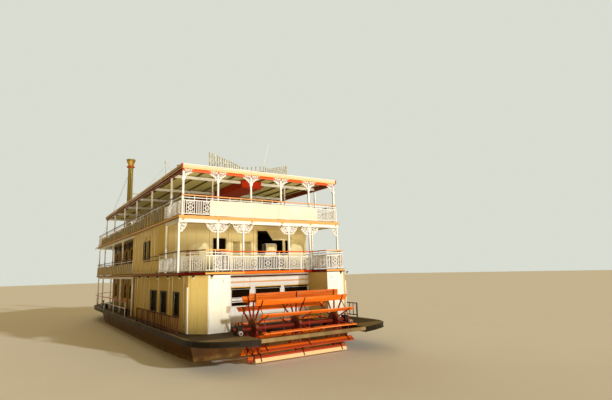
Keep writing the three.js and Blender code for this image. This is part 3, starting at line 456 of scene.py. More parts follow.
def wheelPaint(wheel):      # dark red hubs, red arms, orange-red boards with grain and pale worn edges
    work = Surface("wheelPaint", IOR=1.48, Specular_IOR_Level=0.28)
    where, x, y, z = work.place()
    dy, dz = work.minus(y, wheel["y"]), work.minus(z, wheel["z"])
    out = work.math("SQRT", work.plus(work.times(dy, dy), work.times(dz, dz)))
    grain = work.group(plankGrain, Along=work.stretched(where, (0.35, 9.0, 9.0)), Light="boardRed",
                       Dark="boardDark", Scale=2.2)
    patches = work.span(work.noise(where, 3.5, 6.0, 0.7, (0.3, 1, 1)), 0.44, 0.62)
    worn = work.times(work.span(out, 1.36, 1.60), patches)
    work.colour = work.blend(work.times(worn, 0.45), grain["Colour"], "boardWorn")
    lime = math.radians(wheel["limeAt"])        # one board's outer edge is white with lime
    toward = work.plus(work.times(dy, -math.cos(lime)), work.times(dz, math.sin(lime)))
    rim = work.span(toward, 1.395, 1.415)
    limed = work.times(rim, work.span(work.noise(where, 2.0), 0.15, 0.4, 0.75, 1.0))
    work.coat(limed, "bone")
    upper = work.times(work.span(toward, 1.20, 1.24), work.minus(1.0, rim))
    work.coat(work.times(upper, 0.8), "boardShade")
    arms = work.aged("armRed", "armFaded", "armGrime", 0.7, 0.4)
    work.coat(work.under(out, wheel["boardsFrom"]), arms["Colour"])
    rust = work.span(work.noise(where, 5.0, 5.0, 0.7), 0.5, 0.7)
    hub = work.blend(rust, "hubRed", "hubDark")
    # rust, with a painted highlight, on the upper part of the hub plates
    rustAndHighlight = work.times(work.span(out, 0.24, 0.44), work.span(dz, -0.05, 0.30))
    hub = work.blend(work.times(rustAndHighlight, 0.9), hub, "hubRustAndHighlight")
    work.coat(work.under(out, wheel["hubTo"]), hub)
    return work.done(work.colour, work.plus(grain["Roughness"], 0.05), grain["Height"], 0.35, 0.006)


def roofPaint(top):         # weathered top, cream stern fascia, ochre side fascia, ribbed olive ceiling
    work = Surface("roofPaint", IOR=1.48)
    where, x, y, z = work.place()
    across, fore, rise = work.facing()
    age = work.aged("roofPale", "roofPaleFaded", "roofGrime", 0.8, 0.4)
    line = work.span(work.size(work.minus(z, top - 0.165)), 0.006, 0.022, 0.6, 0.0)
    edge = work.aged("ochre", (0.50, 0.27, 0.04), (0.08, 0.03, 0.01), 0.7, 0.4)
    side = work.blend(work.under(z, top - 0.12), edge["Colour"], (0.060, 0.008, 0.002))
    fascia = work.blend(work.span(z, top - 0.09, top - 0.05, 0.0, 0.5), age["Colour"], "roofLip")
    fascia = work.blend(line, fascia, "roofLine")
    work.colour = work.blend(work.over(work.size(across), 0.8), fascia, side)
    seams = work.group(seamLines, Along=x, Pitch=0.61, Width=0.02, Shift=0.3)
    grey = work.blend(work.noise(where, 1.2, 5.0), "sheetLight", "sheetDark")
    sheet = work.blend(work.times(seams["Line"], 0.5), grey, "sheetSeam")
    work.coat(work.over(rise, 0.5), sheet)
    ribs = work.group(seamLines, Along=x, Pitch=0.19, Width=0.05, Shift=0.05)
    tone = work.noise(where, 0.9, 4.0, 0.6, (2.5, 0.25, 1))
    tone = work.blend(tone, "ceilingOlive", "ceilingPale")
    ceiling = work.blend(work.times(ribs["Line"], 0.4), tone, "rib")
    ceiling = work.blend(work.over(work.size(x), 4.76), ceiling, "eave")
    work.coat(work.under(rise, -0.5), ceiling)
    ripple = work.times(work.over(work.size(rise), 0.5), ribs["Height"])
    return work.done(work.colour, work.plus(age["Roughness"], 0.38), ripple, 0.5, 0.02)


def framePaint(beamFrom):   # white posts, with maroon beams along the sides and a red one across the stern
    work = Surface("canopyPaint", Specular_IOR_Level=0.3)
    where, x, y, z = work.place()
    age = work.aged("white", "whiteFaded", "whiteGrime", 0.6, 0.4)
    high = work.over(z, beamFrom)
    work.colour = work.blend(work.times(high, work.over(work.size(x), 4.72)), age["Colour"], "sideBeam")
    work.coat(work.times(high, work.under(y, st(1.72))), "sternBeam")
    return work.done(work.colour, work.plus(age["Roughness"], 0.3), age["Height"], 0.25, 0.003)


def hullPaint(water):       # black plates with weld seams, a scum line at the water and rust runs
    work = Surface("hullPaint", IOR=1.48)
    where, x, y, z = work.place()
    age = work.aged("hull", "hullFaded", "hullRust", 0.8, 0.6)
    band = work.span(work.size(work.minus(z, water + 0.05)), 0.03, 0.22, 1.0, 0.0)
    scum = work.times(band, work.span(work.noise(where, 3.0, 6.0), 0.35, 0.6))
    work.colour = work.blend(work.times(scum, 0.7), age["Colour"], "scum")
    work.coat(work.span(z, water - 0.02, water, 0.8, 0.0), "bottomRed")
    seams = work.group(seamLines, Along=y, Pitch=2.44, Width=0.015, Shift=0.0)
    return work.done(work.colour, work.plus(age["Roughness"], 0.34, clamp=True), seams["Height"], 0.3, 0.005)


def woodVarnish():
    work = Surface("varnishedWood", Coat_Weight=0.4, Coat_Roughness=0.12)
    grain = work.group(plankGrain, Along=work.stretched(work.place()[0], (14, 14, 0.9)),
                       Light=(0.30, 0.13, 0.045), Dark=(0.13, 0.05, 0.018), Scale=2.0)
    return work.done(grain["Colour"], grain["Roughness"], grain["Height"], 0.2, 0.003)


def wovenCloth(name, light, dark, rough=0.85, folds=None):      # canvas: a fine weave, soft stains, creases
    work = Surface(name, Sheen_Weight=0.25, Sheen_Roughness=0.5)
    where, x, y, z = work.place()
    stains = work.span(work.noise(where, 0.9, 6.0, 0.65), 0.35, 0.7)
    runs = work.span(work.noise(where, 2.2, 4.0, 0.6, (3, 3, 0.5)), 0.45, 0.75)
    work.colour = work.blend(stains, light, dark)
    work.coat(work.times(runs, 0.35), dim(dark, 0.7))
    if folds:           # uneven upright bands, with dirt and shade in the hollows of the pleats
        wander = work.times(work.noise(where, 0.7, 3.0), 9.0)
        band = work.math("SINE", work.plus(work.times(y, 9.6), wander))
        # painted highlights on the ridges of the pleats, and painted shade, with dirt, in their hollows
        work.coat(work.span(band, 0.0, 0.9, 0.0, 0.85), dim(light, 1.4))
        work.coat(work.span(band, -0.9, -0.2, 0.62, 0.0), dim(dark, 0.35))
        hollow = work.span(work.size(x), *folds, 0.85, 0.0)
        work.coat(hollow, dim(dark, 0.25))
    threads = 900.0
    weft = work.math("SINE", work.times(z, threads))
    warp = work.math("SINE", work.times(work.plus(x, y), threads))
    weave = work.times(weft, warp)
    work.coat(work.span(weave, -1.0, 1.0, 0.0, 0.08), dim(dark, 0.55))
    creases = work.noise(where, 6.0, 5.0, 0.6, (1, 1, 0.4))
    rough = work.scaled(stains, 0.08, rough - 0.04)
    return work.done(work.colour, rough, work.scaled(weave, 0.05, creases), 0.35, 0.02)


def metalSheen(name, light, dark, metallic, rough):     # gilt, brass or plain steel with dull patches
    work = Surface(name, Metallic=metallic)
    where = work.place()[0]
    dull = work.span(work.noise(where, 7.0, 5.0, 0.6), 0.4, 0.68)
    return work.done(work.blend(dull, light, dark), work.scaled(dull, 0.25, rough),
                     work.noise(where, 60.0, 3.0), 0.1, 0.002)


def tintedGlass(name, tint, clear, shine, bend=1.5):    # dark panes with a thin uneven film of dust
    work = Surface(name, IOR=bend, Transmission_Weight=clear, Specular_IOR_Level=shine)
    film = work.span(work.noise(work.place()[0], 2.5, 5.0), 0.4, 0.75, 0.0, 0.35)
    dusty = [c * 0.8 + 0.004 for c in tint]
    return work.done(work.blend(film, tint, dusty), work.scaled(film, 0.35, 0.25))


# Plain painted finishes: paint, faded paint, grime, roughness and shine
plain = {
    "whiteTrim": (paints["white"], paints["whiteFaded"], paints["whiteGrime"]),
    "shutterCream": (paints["shutter"], (0.86, 0.76, 0.48), paints["whiteGrime"]),
    "shaft": ((0.17, 0.014, 0.003), (0.13, 0.010, 0.003), (0.05, 0.01, 0.006), 0.4, 0.15),
    "ironBlack": (paints["black"], (0.030, 0.022, 0.012), (0.10, 0.035, 0.010), 0.4, 0.2),
    "ductRed": ((0.50, 0.030, 0.001), (0.44, 0.026, 0.001), (0.05, 0.02, 0.01), 0.4, 0.15),
    "maroon": ((0.085, 0.014, 0.005), (0.11, 0.02, 0.007), (0.04, 0.02, 0.01), 0.45, 0.2),
    "fenceMaroon": ((0.070, 0.014, 0.005), (0.10, 0.022, 0.008), (0.03, 0.012, 0.006), 0.5, 0.1),
    "coral": (paints["coral"], (0.74, 0.42, 0.15), (0.30, 0.14, 0.04), 0.38),
    "gold": ((0.72, 0.42, 0.03), (0.60, 0.34, 0.03), (0.12, 0.06, 0.01), 0.4),
    "red": ((0.62, 0.060, 0.008), (0.52, 0.065, 0.012), (0.08, 0.03, 0.01)),
    "purlinOlive": ((0.15, 0.11, 0.03), (0.22, 0.17, 0.05), (0.05, 0.03, 0.01), 0.45),
    "yellow": ((0.66, 0.42, 0.06), (0.70, 0.50, 0.12), (0.15, 0.08, 0.02), 0.38),
    "machine": ((0.16, 0.17, 0.16), (0.22, 0.22, 0.20), (0.03, 0.025, 0.02), 0.4),
    "hubPaint": ((0.26, 0.018, 0.010), (0.34, 0.035, 0.014), (0.03, 0.01, 0.008), 0.4, 0.12, 0.7),
    "stairGrey": (paints["deck"], (0.38, 0.36, 0.28), (0.16, 0.12, 0.06), 0.5, 0.12, 0.8),
    "beamTimber": ((0.16, 0.10, 0.040), (0.34, 0.24, 0.11), (0.03, 0.02, 0.01), 0.55, 0.12, 0.9, 0.9),
}
finish = {key: agedPaint(key, *tones) for key, tones in plain.items()}
finish.update({
    # black funnel paint mixed gold-brown: a painted warm reflection on the gloss
    "funnelBlackWithReflection": agedPaint("funnelBlackWithReflection", (0.36, 0.28, 0.075), (0.46, 0.36, 0.12), (0.10, 0.05, 0.015),
                             rough=0.14, fade=0.8, Metallic=0.35),
    "creamWall": wallPaint(wallShade),
    "mainDeck": deckPaint("main"),
    "secondDeck": deckPaint("second"),
    "thirdDeck": deckPaint("third"),
    "secondRail": railPaint("second"),
    "thirdRail": railPaint("third"),
    "bowRail": railPaint("bow"),
    "wheel": wheelPaint(wheelFacts),
    "roof": roofPaint(levels["roof"]),
    "canopy": framePaint(10.46),
    "hull": hullPaint(levels["water"]),
    "wood": woodVarnish(),
    "bannerCloth": wovenCloth("bannerCloth", (0.76, 0.76, 0.66), (0.72, 0.70, 0.58), 0.6),
    "canvas": wovenCloth("canvasCloth", (0.46, 0.35, 0.12), (0.27, 0.19, 0.050), folds=(4.955, 4.985)),
    "gilt": metalSheen("gilt", (0.80, 0.55, 0.14), (0.52, 0.32, 0.07), 1.0, 0.28),
    "pipeBrass": metalSheen("pipeBrass", (0.62, 0.56, 0.34), (0.36, 0.31, 0.17), 0.9, 0.3),
    "steel": metalSheen("galvanisedSteel", (0.56, 0.54, 0.48), (0.38, 0.36, 0.30), 0.7, 0.42),
    "darkGlass": tintedGlass("darkGlass", (0.010, 0.005, 0.001), 0.03, 0.03, 1.12),
    "tanGlass": tintedGlass("tanGlass", (0.44, 0.33, 0.12), 0.10, 0.4),
    "lampGlass": tintedGlass("lampGlass", (0.85, 0.78, 0.50), 0.35, 0.5),
})
print("materials made:", len(finish))

# Which finish each node of the frame takes
wears = {
    "hull": "hull rudder_port rudder_starboard",
    "mainDeck": "main_deck",
    "secondDeck": "second_deck",
    "thirdDeck": "third_deck",
    "beamTimber": "stern_beam",
    "wheel": "paddle_wheel",
    "shaft": "wheel_shaft",
    "ironBlack": "wheel_bearing_port wheel_bearing_starboard floodlight capstan",
    "creamWall": "main_house_aft_port main_house_aft_starboard main_house_fore second_house_fore pilothouse "
                 "second_house_corner_port second_house_corner_starboard second_house_aft_wall "
                 "second_aft_door",
    "whiteTrim": "main_house_aft_wall serving_counter main_deck_posts third_deck_posts_stern "
                 "third_deck_posts_fore whip_aerial masthead_pole",
    "wood": "main_fore_door second_fore_door pilot_door steering_wheel steering_stand",
    "machine": "engine_block",
    "shutterCream": "serving_shutter",
    "stairGrey": "fore_stair upper_stair",
    "secondRail": "second_stern_rail second_fore_rail_port second_fore_rail_starboard",
    "thirdRail": "third_rail",
    "bowRail": "bow_rail",
    "fenceMaroon": "guard_fence_port guard_fence_starboard",
    "roof": "canopy_roof",
    "canopy": "canopy_frame canopy_stern_frame",
    "ductRed": "ceiling_duct",
    "bannerCloth": "stern_banner",
    "canvas": "weather_cloth_port weather_cloth_starboard promenade_cloth_port promenade_cloth_starboard",
    "funnelBlackWithReflection": "funnels",
    "pipeBrass": "steam_organ",
    "maroon": "pilothouse_roof",
}
painted = [(name, key) for key, names in wears.items() for name in names.split()]
for name, key in painted:
    nodes[name].data.materials.clear()
    nodes[name].data.materials.append(finish[key])
print("nodes painted:", len(painted), "of", len(nodes))


# Mesh building: plain solids gathered in one mesh, which then becomes one piece
def ringAt(centre, across, other, radius, sides):
    turns = [2 * math.pi * step / sides for step in range(sides)]
    return [centre + (across * math.cos(t) + other * math.sin(t)) * radius for t in turns]


class Gather:
    def __init__(self):
        self.mesh = bmesh.new()
        self.paint = 0              # which of the piece's finishes the next solids take
        self.place = Matrix()       # the axes that the next solids are given in

    def points(self, path):
        return [self.place @ Vector(point) for point in path]

    def way(self, direction):
        return self.place.to_3x3() @ Vector(direction)

    def loft(self, rings, looped=False):
        rows = [[self.mesh.verts.new(point) for point in ring] for ring in rings]
        count = len(rows[0])
        faces = []
        for a, b in zip(rows, rows[1:] + rows[:1] if looped else rows[1:]):
            for k in range(count):
                n = (k + 1) % count
                faces.append((a[k], a[n], b[n], b[k]))
        if not looped:
            faces += [rows[0][::-1], rows[-1]]
        for corners in faces:
            self.mesh.faces.new(corners).material_index = self.paint

    def plate(self, outline, lift):
        outline, lift = self.points(outline), self.way(lift)
        self.loft([outline, [point + lift for point in outline]])

    def block(self, corner, opposite):
        low, high = zip(*(sorted(pair) for pair in zip(corner, opposite)))
        corners = [(low[0], low[1]), (high[0], low[1]), (high[0], high[1]), (low[0], high[1])]
        self.loft([self.points([(x, y, z) for x, y in corners]) for z in (low[2], high[2])])

    def strip(self, path, width, depth, normal=(0, 1, 0), closed=False):
        path, normal = self.points(path), self.way(normal).normalized()
        rings = []
        for k, point in enumerate(path):
            into = point - path[k - 1] if k or closed else path[1] - point
            onward = path[(k + 1) % len(path)] - point if k < len(path) - 1 or closed else into
            into, onward = into.normalized(), onward.normalized()
            run = (into + onward).normalized()
            side = normal.cross(run).normalized() * width / 2 / max(0.5, run.dot(onward))
            face = normal * depth / 2
            rings.append([point - side - face, point + side - face, point + side + face, point - side + face])
        self.loft(rings, looped=closed)

    def tube(self, path, radius, sides=8):
        path = self.points(path)
        radii = radius if isinstance(radius, list) else [radius] * len(path)
        across = None
        rings = []
        for k, point in enumerate(path):
            before = path[k - 1] if k else point
            after = path[k + 1] if k < len(path) - 1 else point
            run = (after - before).normalized()
            if across is None:
                across = run.orthogonal().normalized()
            across = (across - run * across.dot(run)).normalized()
            rings.append(ringAt(point, across, run.cross(across), radii[k], sides))
        self.loft(rings)

    def turned(self, profile, at, axis=(0, 0, 1), sides=16):
        at, axis = self.place @ Vector(at), self.way(axis).normalized()
        across = axis.orthogonal().normalized()
        other = axis.cross(across)
        self.loft([ringAt(at + axis * height, across, other, max(radius, 0.0008), sides)
                   for radius, height in profile])

    def ball(self, at, radius, sides=8):
        steps = [math.pi * (0.5 + step) / 4 for step in range(4)]
        self.turned([(radius * math.sin(s), -radius * math.cos(s)) for s in steps], at, sides=sides)

    def doubled(self, lines, shift):    # cloth: two layers of one grid of points, joined round the edge
        layers = [[[self.mesh.verts.new(point + off) for point in line] for line in lines]
                  for off in (Vector(), shift)]
        corners = []
        last, end = len(lines) - 1, len(lines[0]) - 1
        for n in range(last):
            for k in range(end):
                corners += [(layer[n][k], layer[n + 1][k], layer[n + 1][k + 1], layer[n][k + 1])
                            for layer in layers]
        near, far = layers
        for k in (0, end):
            corners += [(near[n][k], near[n + 1][k], far[n + 1][k], far[n][k]) for n in range(last)]
        for n in (0, last):
            corners += [(near[n][k], near[n][k + 1], far[n][k + 1], far[n][k]) for k in range(end)]
        for four in corners:
            self.mesh.faces.new(four)

    def parts(self):            # the points and faces gathered so far, to be stamped in another mesh
        self.mesh.verts.index_update()
        points = [v.co.copy() for v in self.mesh.verts]
        faces = [[v.index for v in face.verts] for face in self.mesh.faces]
        self.mesh.free()
        return points, faces

    def stamp(self, parts, shift):
        matrix = self.place @ Matrix.Translation(shift)
        made = [self.mesh.verts.new(matrix @ point) for point in parts[0]]
        for corners in parts[1]:
            self.mesh.faces.new([made[k] for k in corners]).material_index = self.paint


def settle(g, name, finishes, body="vessel", replaces=(), bevel=0.0, smooth=32):
    bmesh.ops.recalc_face_normals(g.mesh, faces=g.mesh.faces)
    data = bpy.data.meshes.new(name)
    g.mesh.to_mesh(data)
    g.mesh.free()
    for key in finishes:
        data.materials.append(finish[key])
    data.shade_smooth()
    data.set_sharp_from_angle(angle=math.radians(smooth))
    piece = bpy.data.objects.new(name, data)
    bpy.context.scene.collection.objects.link(piece)
    if bevel:
        edge = piece.modifiers.new("softEdge", "BEVEL")
        edge.width, edge.segments, edge.limit_method = bevel, 2, "ANGLE"
    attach(piece, body)
    if replaces:
        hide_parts(*replaces)
    return piece


def arcPath(cx, cz, radius, start, stop, steps, shrink=1.0):     # an arc or scroll in the X-Z plane
    path = []
    for step in range(steps + 1):
        share = step / steps
        turn = math.radians(start + (stop - start) * share)
        size = radius * (1 + (shrink - 1) * share)
        path.append(Vector((cx + size * math.cos(turn), 0, cz + size * math.sin(turn))))
    return path


def ringPath(cx, cz, radius, steps):
    return arcPath(cx, cz, radius, 0, 360 - 360 / steps, steps - 1)


def rim(x0, x1, z0, z1, y=0.0):         # the corners of an upright rectangle
    return [(x0, y, z0), (x1, y, z0), (x1, y, z1), (x0, y, z1)]


def facingMatrix(at, along):    # X runs along, Y across and Z up
    along = Vector(along).normalized()
    turn = Matrix((along, up.cross(along), up)).transposed().to_4x4()
    return Matrix.Translation(at) @ turn


def wallMatrix(x, station, z, outward):     # X runs along the wall, Y out of it and Z up
    outward = Vector(outward).normalized()
    turn = Matrix((outward.cross(up), outward, up)).transposed().to_4x4()
    return Matrix.Translation((x, st(station), z)) @ turn


# Cast lace of the rails: a framed scroll panel and three flat bars, in turn
laceLook = {"low": 0.088, "high": 0.742, "panel": 0.43, "period": 0.86, "band": 0.030, "depth": 0.022,
            "bars": 3, "plainBars": 6, "barWidth": 0.040, "ring": 0.118, "shortest": 0.3}


def lacePanel(look):
    g = Gather()
    half, low, high, band, depth = look["panel"] / 2, look["low"], look["high"], look["band"], look["depth"]
    middle, ring = (low + high) / 2, look["ring"]
    g.strip(rim(-half, half, low, high), band, depth, closed=True)
    g.strip(ringPath(0, middle, ring, 16), band * 0.9, depth, closed=True)
    for turn in range(4):
        angle = math.radians(90 * turn)
        x, z = math.cos(angle), math.sin(angle)
        g.strip(ringPath(0.052 * x, middle + 0.052 * z, 0.040, 8), band * 0.6, depth * 0.8, closed=True)
        g.ball((0.150 * x, 0, middle + 0.150 * z), 0.024, 6)
    for sx in (-1, 1):
        g.strip([(sx * ring, 0, middle), (sx * half, 0, middle)], band * 0.8, depth)
        for sz, edge in ((-1, low), (1, high)):     # scrolls that curl out of the corners
            start, sweep = -90 * sz, -90 * sx * sz
            g.strip(arcPath(sx * half, edge, 0.155, start, start + sweep, 6), band * 0.85, depth)
            g.strip(arcPath(sx * half, edge, 0.080, start, start + sweep, 4), band * 0.7, depth)
            g.ball((sx * 0.115, 0, middle + sz * 0.165), 0.022, 6)
            stem = [(sx * 0.060, 0, middle + sz * 0.100), (sx * 0.112, 0, middle + sz * 0.160)]
            g.strip(stem, band * 0.6, depth)
    for sz, edge in ((-1, low), (1, high)):
        g.strip([(0, 0, middle + sz * ring), (0, 0, edge)], band * 0.8, depth)
        g.strip(ringPath(0, edge - sz * 0.085, 0.045, 8), band * 0.6, depth, closed=True)
    return g.parts()


lacePattern = lacePanel(laceLook)


def laceAlong(g, path, base, panels=True):
    look = laceLook
    for (x0, y0), (x1, y1) in zip(path, path[1:]):
        a, b = Vector((x0, st(y0), base)), Vector((x1, st(y1), base))
        length = (b - a).length
        if length < look["shortest"]:
            continue
        g.place = facingMatrix(a, b - a)
        count = max(1, round(length / look["period"]))
        pitch = length / count
        for k in range(count):
            middle = (k + 0.5) * pitch
            if panels and pitch > look["panel"] + 0.06:
                g.stamp(lacePattern, (middle, 0, 0))
                room = (pitch - look["panel"]) / (look["bars"] + 1)
                bars = [middle + look["panel"] / 2 + room * (n + 1) for n in range(look["bars"])]
            else:
                bars = [k * pitch + pitch * (n + 0.5) / look["plainBars"] for n in range(look["plainBars"])]
            for bar in bars:
                bar = bar % length
                ends = [(bar, 0, look["low"] - 0.02), (bar, 0, look["high"] + 0.02)]
                g.strip(ends, look["barWidth"], look["depth"])
    g.place = Matrix()


# Where the lace runs, by stations: first and last runs, and between them those of both sides
railRuns = {
    "second": {"level": "second", "last": [(-2.97, 1.53), (2.97, 1.53)], "sides": [
        (True, [(2.97, 1.53), (2.97, 0.07), (4.11, 0.07), (4.58, 0.915), (4.835, 1.47), (4.93, 2.07),
                (4.93, 5.25)])]},
    "third": {"level": "third", "first": [(-4.86, 1.53), (4.86, 1.53)], "stubs": 15, "stubPitch": 0.648,
              "last": [(-1.68, 30.68), (1.68, 30.68)], "sides": [
        (True, [(4.93, 1.61), (4.93, 4.25)]),
        (False, [(4.93, 4.25), (4.93, 26.4)]),
        (True, [(4.93, 26.4), (4.93, 28.29), (4.77, 29.11), (4.24, 29.83), (3.16, 30.37), (1.68, 30.68)])]},
    "promenade": {"level": "second", "sides": [
        (False, [(4.94, 12.13), (4.94, 28.29)]),
        (True, [(4.94, 28.29), (4.79, 29.26), (4.25, 30.14), (3.17, 30.83), (1.68, 31.18), (0.90, 31.235)]),
        (True, [(0.87, 31.235), (0.87, 28.85)])]},
}


def railLace(word):
    rail = railRuns[word]
    base = levels[rail["level"]]
    g = Gather()
    laceAlong(g, rail.get("first", []), base)
    for k in range(1, rail.get("stubs", 1)):        # between the lace and the top rail across the stern
        x = rail["first"][0][0] + k * rail["stubPitch"]
        g.block((x - 0.014, st(1.516), base + laceLook["high"]), (x + 0.014, st(1.544), base + 1.02))
    for side, _ in bothSides:
        for panels, run in rail["sides"]:
            laceAlong(g, [(side * x, y) for x, y in run], base, panels)
    laceAlong(g, rail.get("last", []), base)
    settle(g, word + "_rail_lace", ["whiteTrim"])


for word in railRuns:
    railLace(word)
print("rail lace cast")

# Lace fans under the third deck and lacy brackets under the canopy, round each stern post
fanLook = {"y": 1.645, "beam": 7.8547, "depth": 0.46, "thick": 0.030, "foot": 0.46,
           "posts": [(-4.955, 0.34, (1,)), (-2.90, 0.64, (-1, 1)), (-1.44, 0.62, (-1, 1)),
                     (1.44, 0.62, (-1, 1)), (2.90, 0.64, (-1, 1)), (4.955, 0.34, (-1,))],
           "ribs": (((0.08, 0.98), (0.40, 0.0)), ((0.08, 0.98), (0.70, 0.0)), ((0.36, 0.62), (0.74, 0.46))),
           "rings": ((0.80, 0.14, 0.052), (0.52, 0.20, 0.046), (0.56, 0.50, 0.050), (0.34, 0.76, 0.036),
                     (0.25, 0.24, 0.036), (0.24, 0.50, 0.030)),
           "drops": ((1.02, 0.06), (0.91, 0.27), (0.81, 0.47), (0.71, 0.66), (0.61, 0.85), (0.50, 1.05),
                     (0.24, 1.09))}
bracketLook = {"posts": [-4.78, -2.90, -0.96, 0.96, 2.90, 4.78], "beam": 10.4707, "reach": 0.45, "edge": 4.9,
               "face": 0.078,
               "curve": ((0.055, -0.31), (0.10, -0.25), (0.17, -0.15), (0.30, -0.09), (0.44, -0.03)),
               "rings": ((0.115, -0.085, 0.062), (0.25, -0.030, 0.040), (0.085, -0.20, 0.034),
                         (0.36, -0.010, 0.028)),
               "drops": ((0.13, -0.27), (0.20, -0.19), (0.28, -0.14), (0.38, -0.09), (0.06, -0.34),
                         (0.46, -0.05)),
               "faceStrips": ((((0.30, 0.02), (0.40, 0.09), (0.50, 0.20)), 0.044),
                              (((0.06, 0.02), (0.06, 0.25)), 0.050), (((0.10, 0.25), (0.52, 0.25)), 0.050),
                              (((0.18, 0.02), (0.28, 0.12), (0.33, 0.22)), 0.044),
                              (((0.03, 0.03), (0.40, 0.03)), 0.055)),
               "faceRings": ((0.15, 0.12, 0.060), (0.24, 0.19, 0.040), (0.41, 0.17, 0.036),
                             (0.14, 0.21, 0.030), (0.33, 0.07, 0.034), (0.48, 0.12, 0.026))}
fasciaLook = {"half": 5.0, "from": 1.515, "to": 1.590, "low": 7.815, "high": 8.003, "clip": 0.055}


def ringsAt(g, at, table, width, depth):
    for across, rise, radius in table:
        ring = [at(across, rise) + point for point in ringPath(0, 0, radius, 10)]
        g.strip(ring, width, depth, closed=True)


def ballsAt(g, at, table, radius):
    for across, rise in table:
        g.ball(at(across, rise), radius, 6)


def fanLace(look, fascia):
    g = Gather()
    y, beam, depth, thick = st(look["y"]), look["beam"], look["depth"], look["thick"]
    for x, half, sides in look["posts"]:
        for side in sides:
            def at(across, down):       # shares of the fan's half width and depth
                return Vector((x + side * half * across, y, beam - depth * down))

            g.strip([at(0.97, 0.0), at(0.74, 0.44), at(look["foot"], 0.98), at(0.06, 1.02)], 0.042, thick)
            g.strip([at(0.10, 0.0), at(0.10, 1.0)], 0.062, thick)
            for a, b in look["ribs"]:
                g.strip([at(*a), at(*b)], 0.022, thick)
            ringsAt(g, at, look["rings"], 0.024, thick)
            ballsAt(g, at, look["drops"], 0.042)
        g.turned([(0.05, 0), (0.066, 0.02), (0.05, 0.05)], (x, y, beam - depth - 0.06))
    half = fascia["half"]
    g.block((-half, st(fascia["from"]), fascia["low"]), (half, st(fascia["to"]), fascia["high"]))
    settle(g, "fan_lace", ["whiteTrim"])


def fasciaClips(look):      # where the posts above bolt through
    g = Gather()
    low, wide, front = look["high"] - 0.10, look["clip"], st(look["from"])
    for x in bracketLook["posts"]:
        g.block((x - wide, front - 0.020, low), (x + wide, front - 0.001, look["high"] - 0.005))
        bolt = [(0.018, 0), (0.018, 0.012), (0.008, 0.016)]
        g.turned(bolt, (x, front - 0.020, low + 0.045), (0, -1, 0), 6)
    settle(g, "fascia_clips", ["gold"], bevel=0.003)


def bracketLace(look):
    g = Gather()
    y, top, thick = st(fanLook["y"]), look["beam"], fanLook["thick"]
    face = Vector((0, -look["face"], 0))
    for x in look["posts"]:
        for side in (-1, 1):
            if abs(x + side * look["reach"]) > look["edge"]:
                continue

            def near(dx, dz):
                return Vector((x + side * dx, y, top + dz))

            def above(dx, dz):          # the same scrolls laid on the beam above
                return near(dx, dz) + face

            g.strip([near(*p) for p in look["curve"]], 0.030, thick)
            ringsAt(g, near, look["rings"], 0.024, thick)
            ballsAt(g, near, look["drops"], 0.030)
            g.strip([near(0.065, -0.28), near(0.065, -0.01)], 0.050, thick)
            for path, width in look["faceStrips"]:
                g.strip([above(*p) for p in path], width, 0.022)
            ringsAt(g, above, look["faceRings"], 0.028, 0.020)
        g.turned([(0.045, 0), (0.066, 0.015), (0.066, 0.04), (0.045, 0.055)], (x, y, top - 0.38))
    settle(g, "canopy_bracket_lace", ["whiteTrim"])


fanLace(fanLook, fasciaLook)
fasciaClips(fasciaLook)
bracketLace(bracketLook)

# Brackets on the posts along the sides, with turned capitals and feet
sidePostLook = {"stations": (12.2, 16.45, 20.7, 24.85), "reach": 0.62, "drop": 0.40, "depth": 0.024,
                "rows": ((4.83, 8.0047 - 0.15, "second"), (4.90, 5.1397, "main"))}


def sidePostBrackets(look):
    g = Gather()
    drop = look["drop"]
    arch = [(look["reach"], 0, -0.01), (0.40, 0, -0.04), (0.24, 0, -0.12), (0.13, 0, -0.25),
            (0.075, 0, -drop)]
    paths = ((arch, 0.030), (arcPath(0.14, -0.12, 0.085, 0, 400, 12, 0.4), 0.018),
             (arcPath(0.33, -0.045, 0.035, 0, 330, 8), 0.014))
    for side, _ in bothSides:
        for out, top, foot in look["rows"]:
            x = side * out
            for station in look["stations"]:
                for ahead in (-1, 1):
                    g.place = facingMatrix((x, st(station), top), (0, ahead, 0))
                    for path, width in paths:
                        g.strip(path, width, look["depth"], (0, -ahead, 0))
                    for dx, dz in ((0.29, -0.15), (0.17, -0.28), (0.46, -0.07)):
                        g.ball((dx, 0, dz), 0.024, 6)
                g.place = Matrix()
                shoe = [(0.085, 0), (0.085, 0.06), (0.06, 0.09), (0.06, 0.14)]
                g.turned(shoe, (x, st(station), levels[foot] + 0.002), sides=12)
                capital = [(0.058, 0), (0.080, 0.03), (0.058, 0.06)]
                g.turned(capital, (x, st(station), top - drop - 0.07), sides=12)
    settle(g, "side_post_brackets", ["yellow"])


sidePostBrackets(sidePostLook)
print("post brackets cast")

# Canopy: purlins under the roof, mouldings round it, corner caps
canopyLook = {"half": 4.895, "from": 1.485, "to": 25.065, "ceiling": 10.771, "purlins": 10, "pitch": 0.95,
              "purlin": (0.05, 0.088), "beams": (3.7, 7.95, 12.2, 16.45, 20.7, 24.85), "lip": 0.022}


def canopyPurlins(look):
    g = Gather()
    wide, deep = look["purlin"]
    ceiling, beams = look["ceiling"], look["beams"]
    for k in range(look["purlins"]):
        x = (k - 4.5) * look["pitch"]
        for a, b in zip((look["from"] + 0.20,) + beams, beams + (look["to"] - 0.06,)):
            y0, y1 = st(a) + 0.06, st(b) - 0.06
            g.block((x - wide / 2, y0, ceiling - deep), (x + wide / 2, y1, ceiling - 0.002))
    settle(g, "canopy_purlins", ["purlinOlive"])


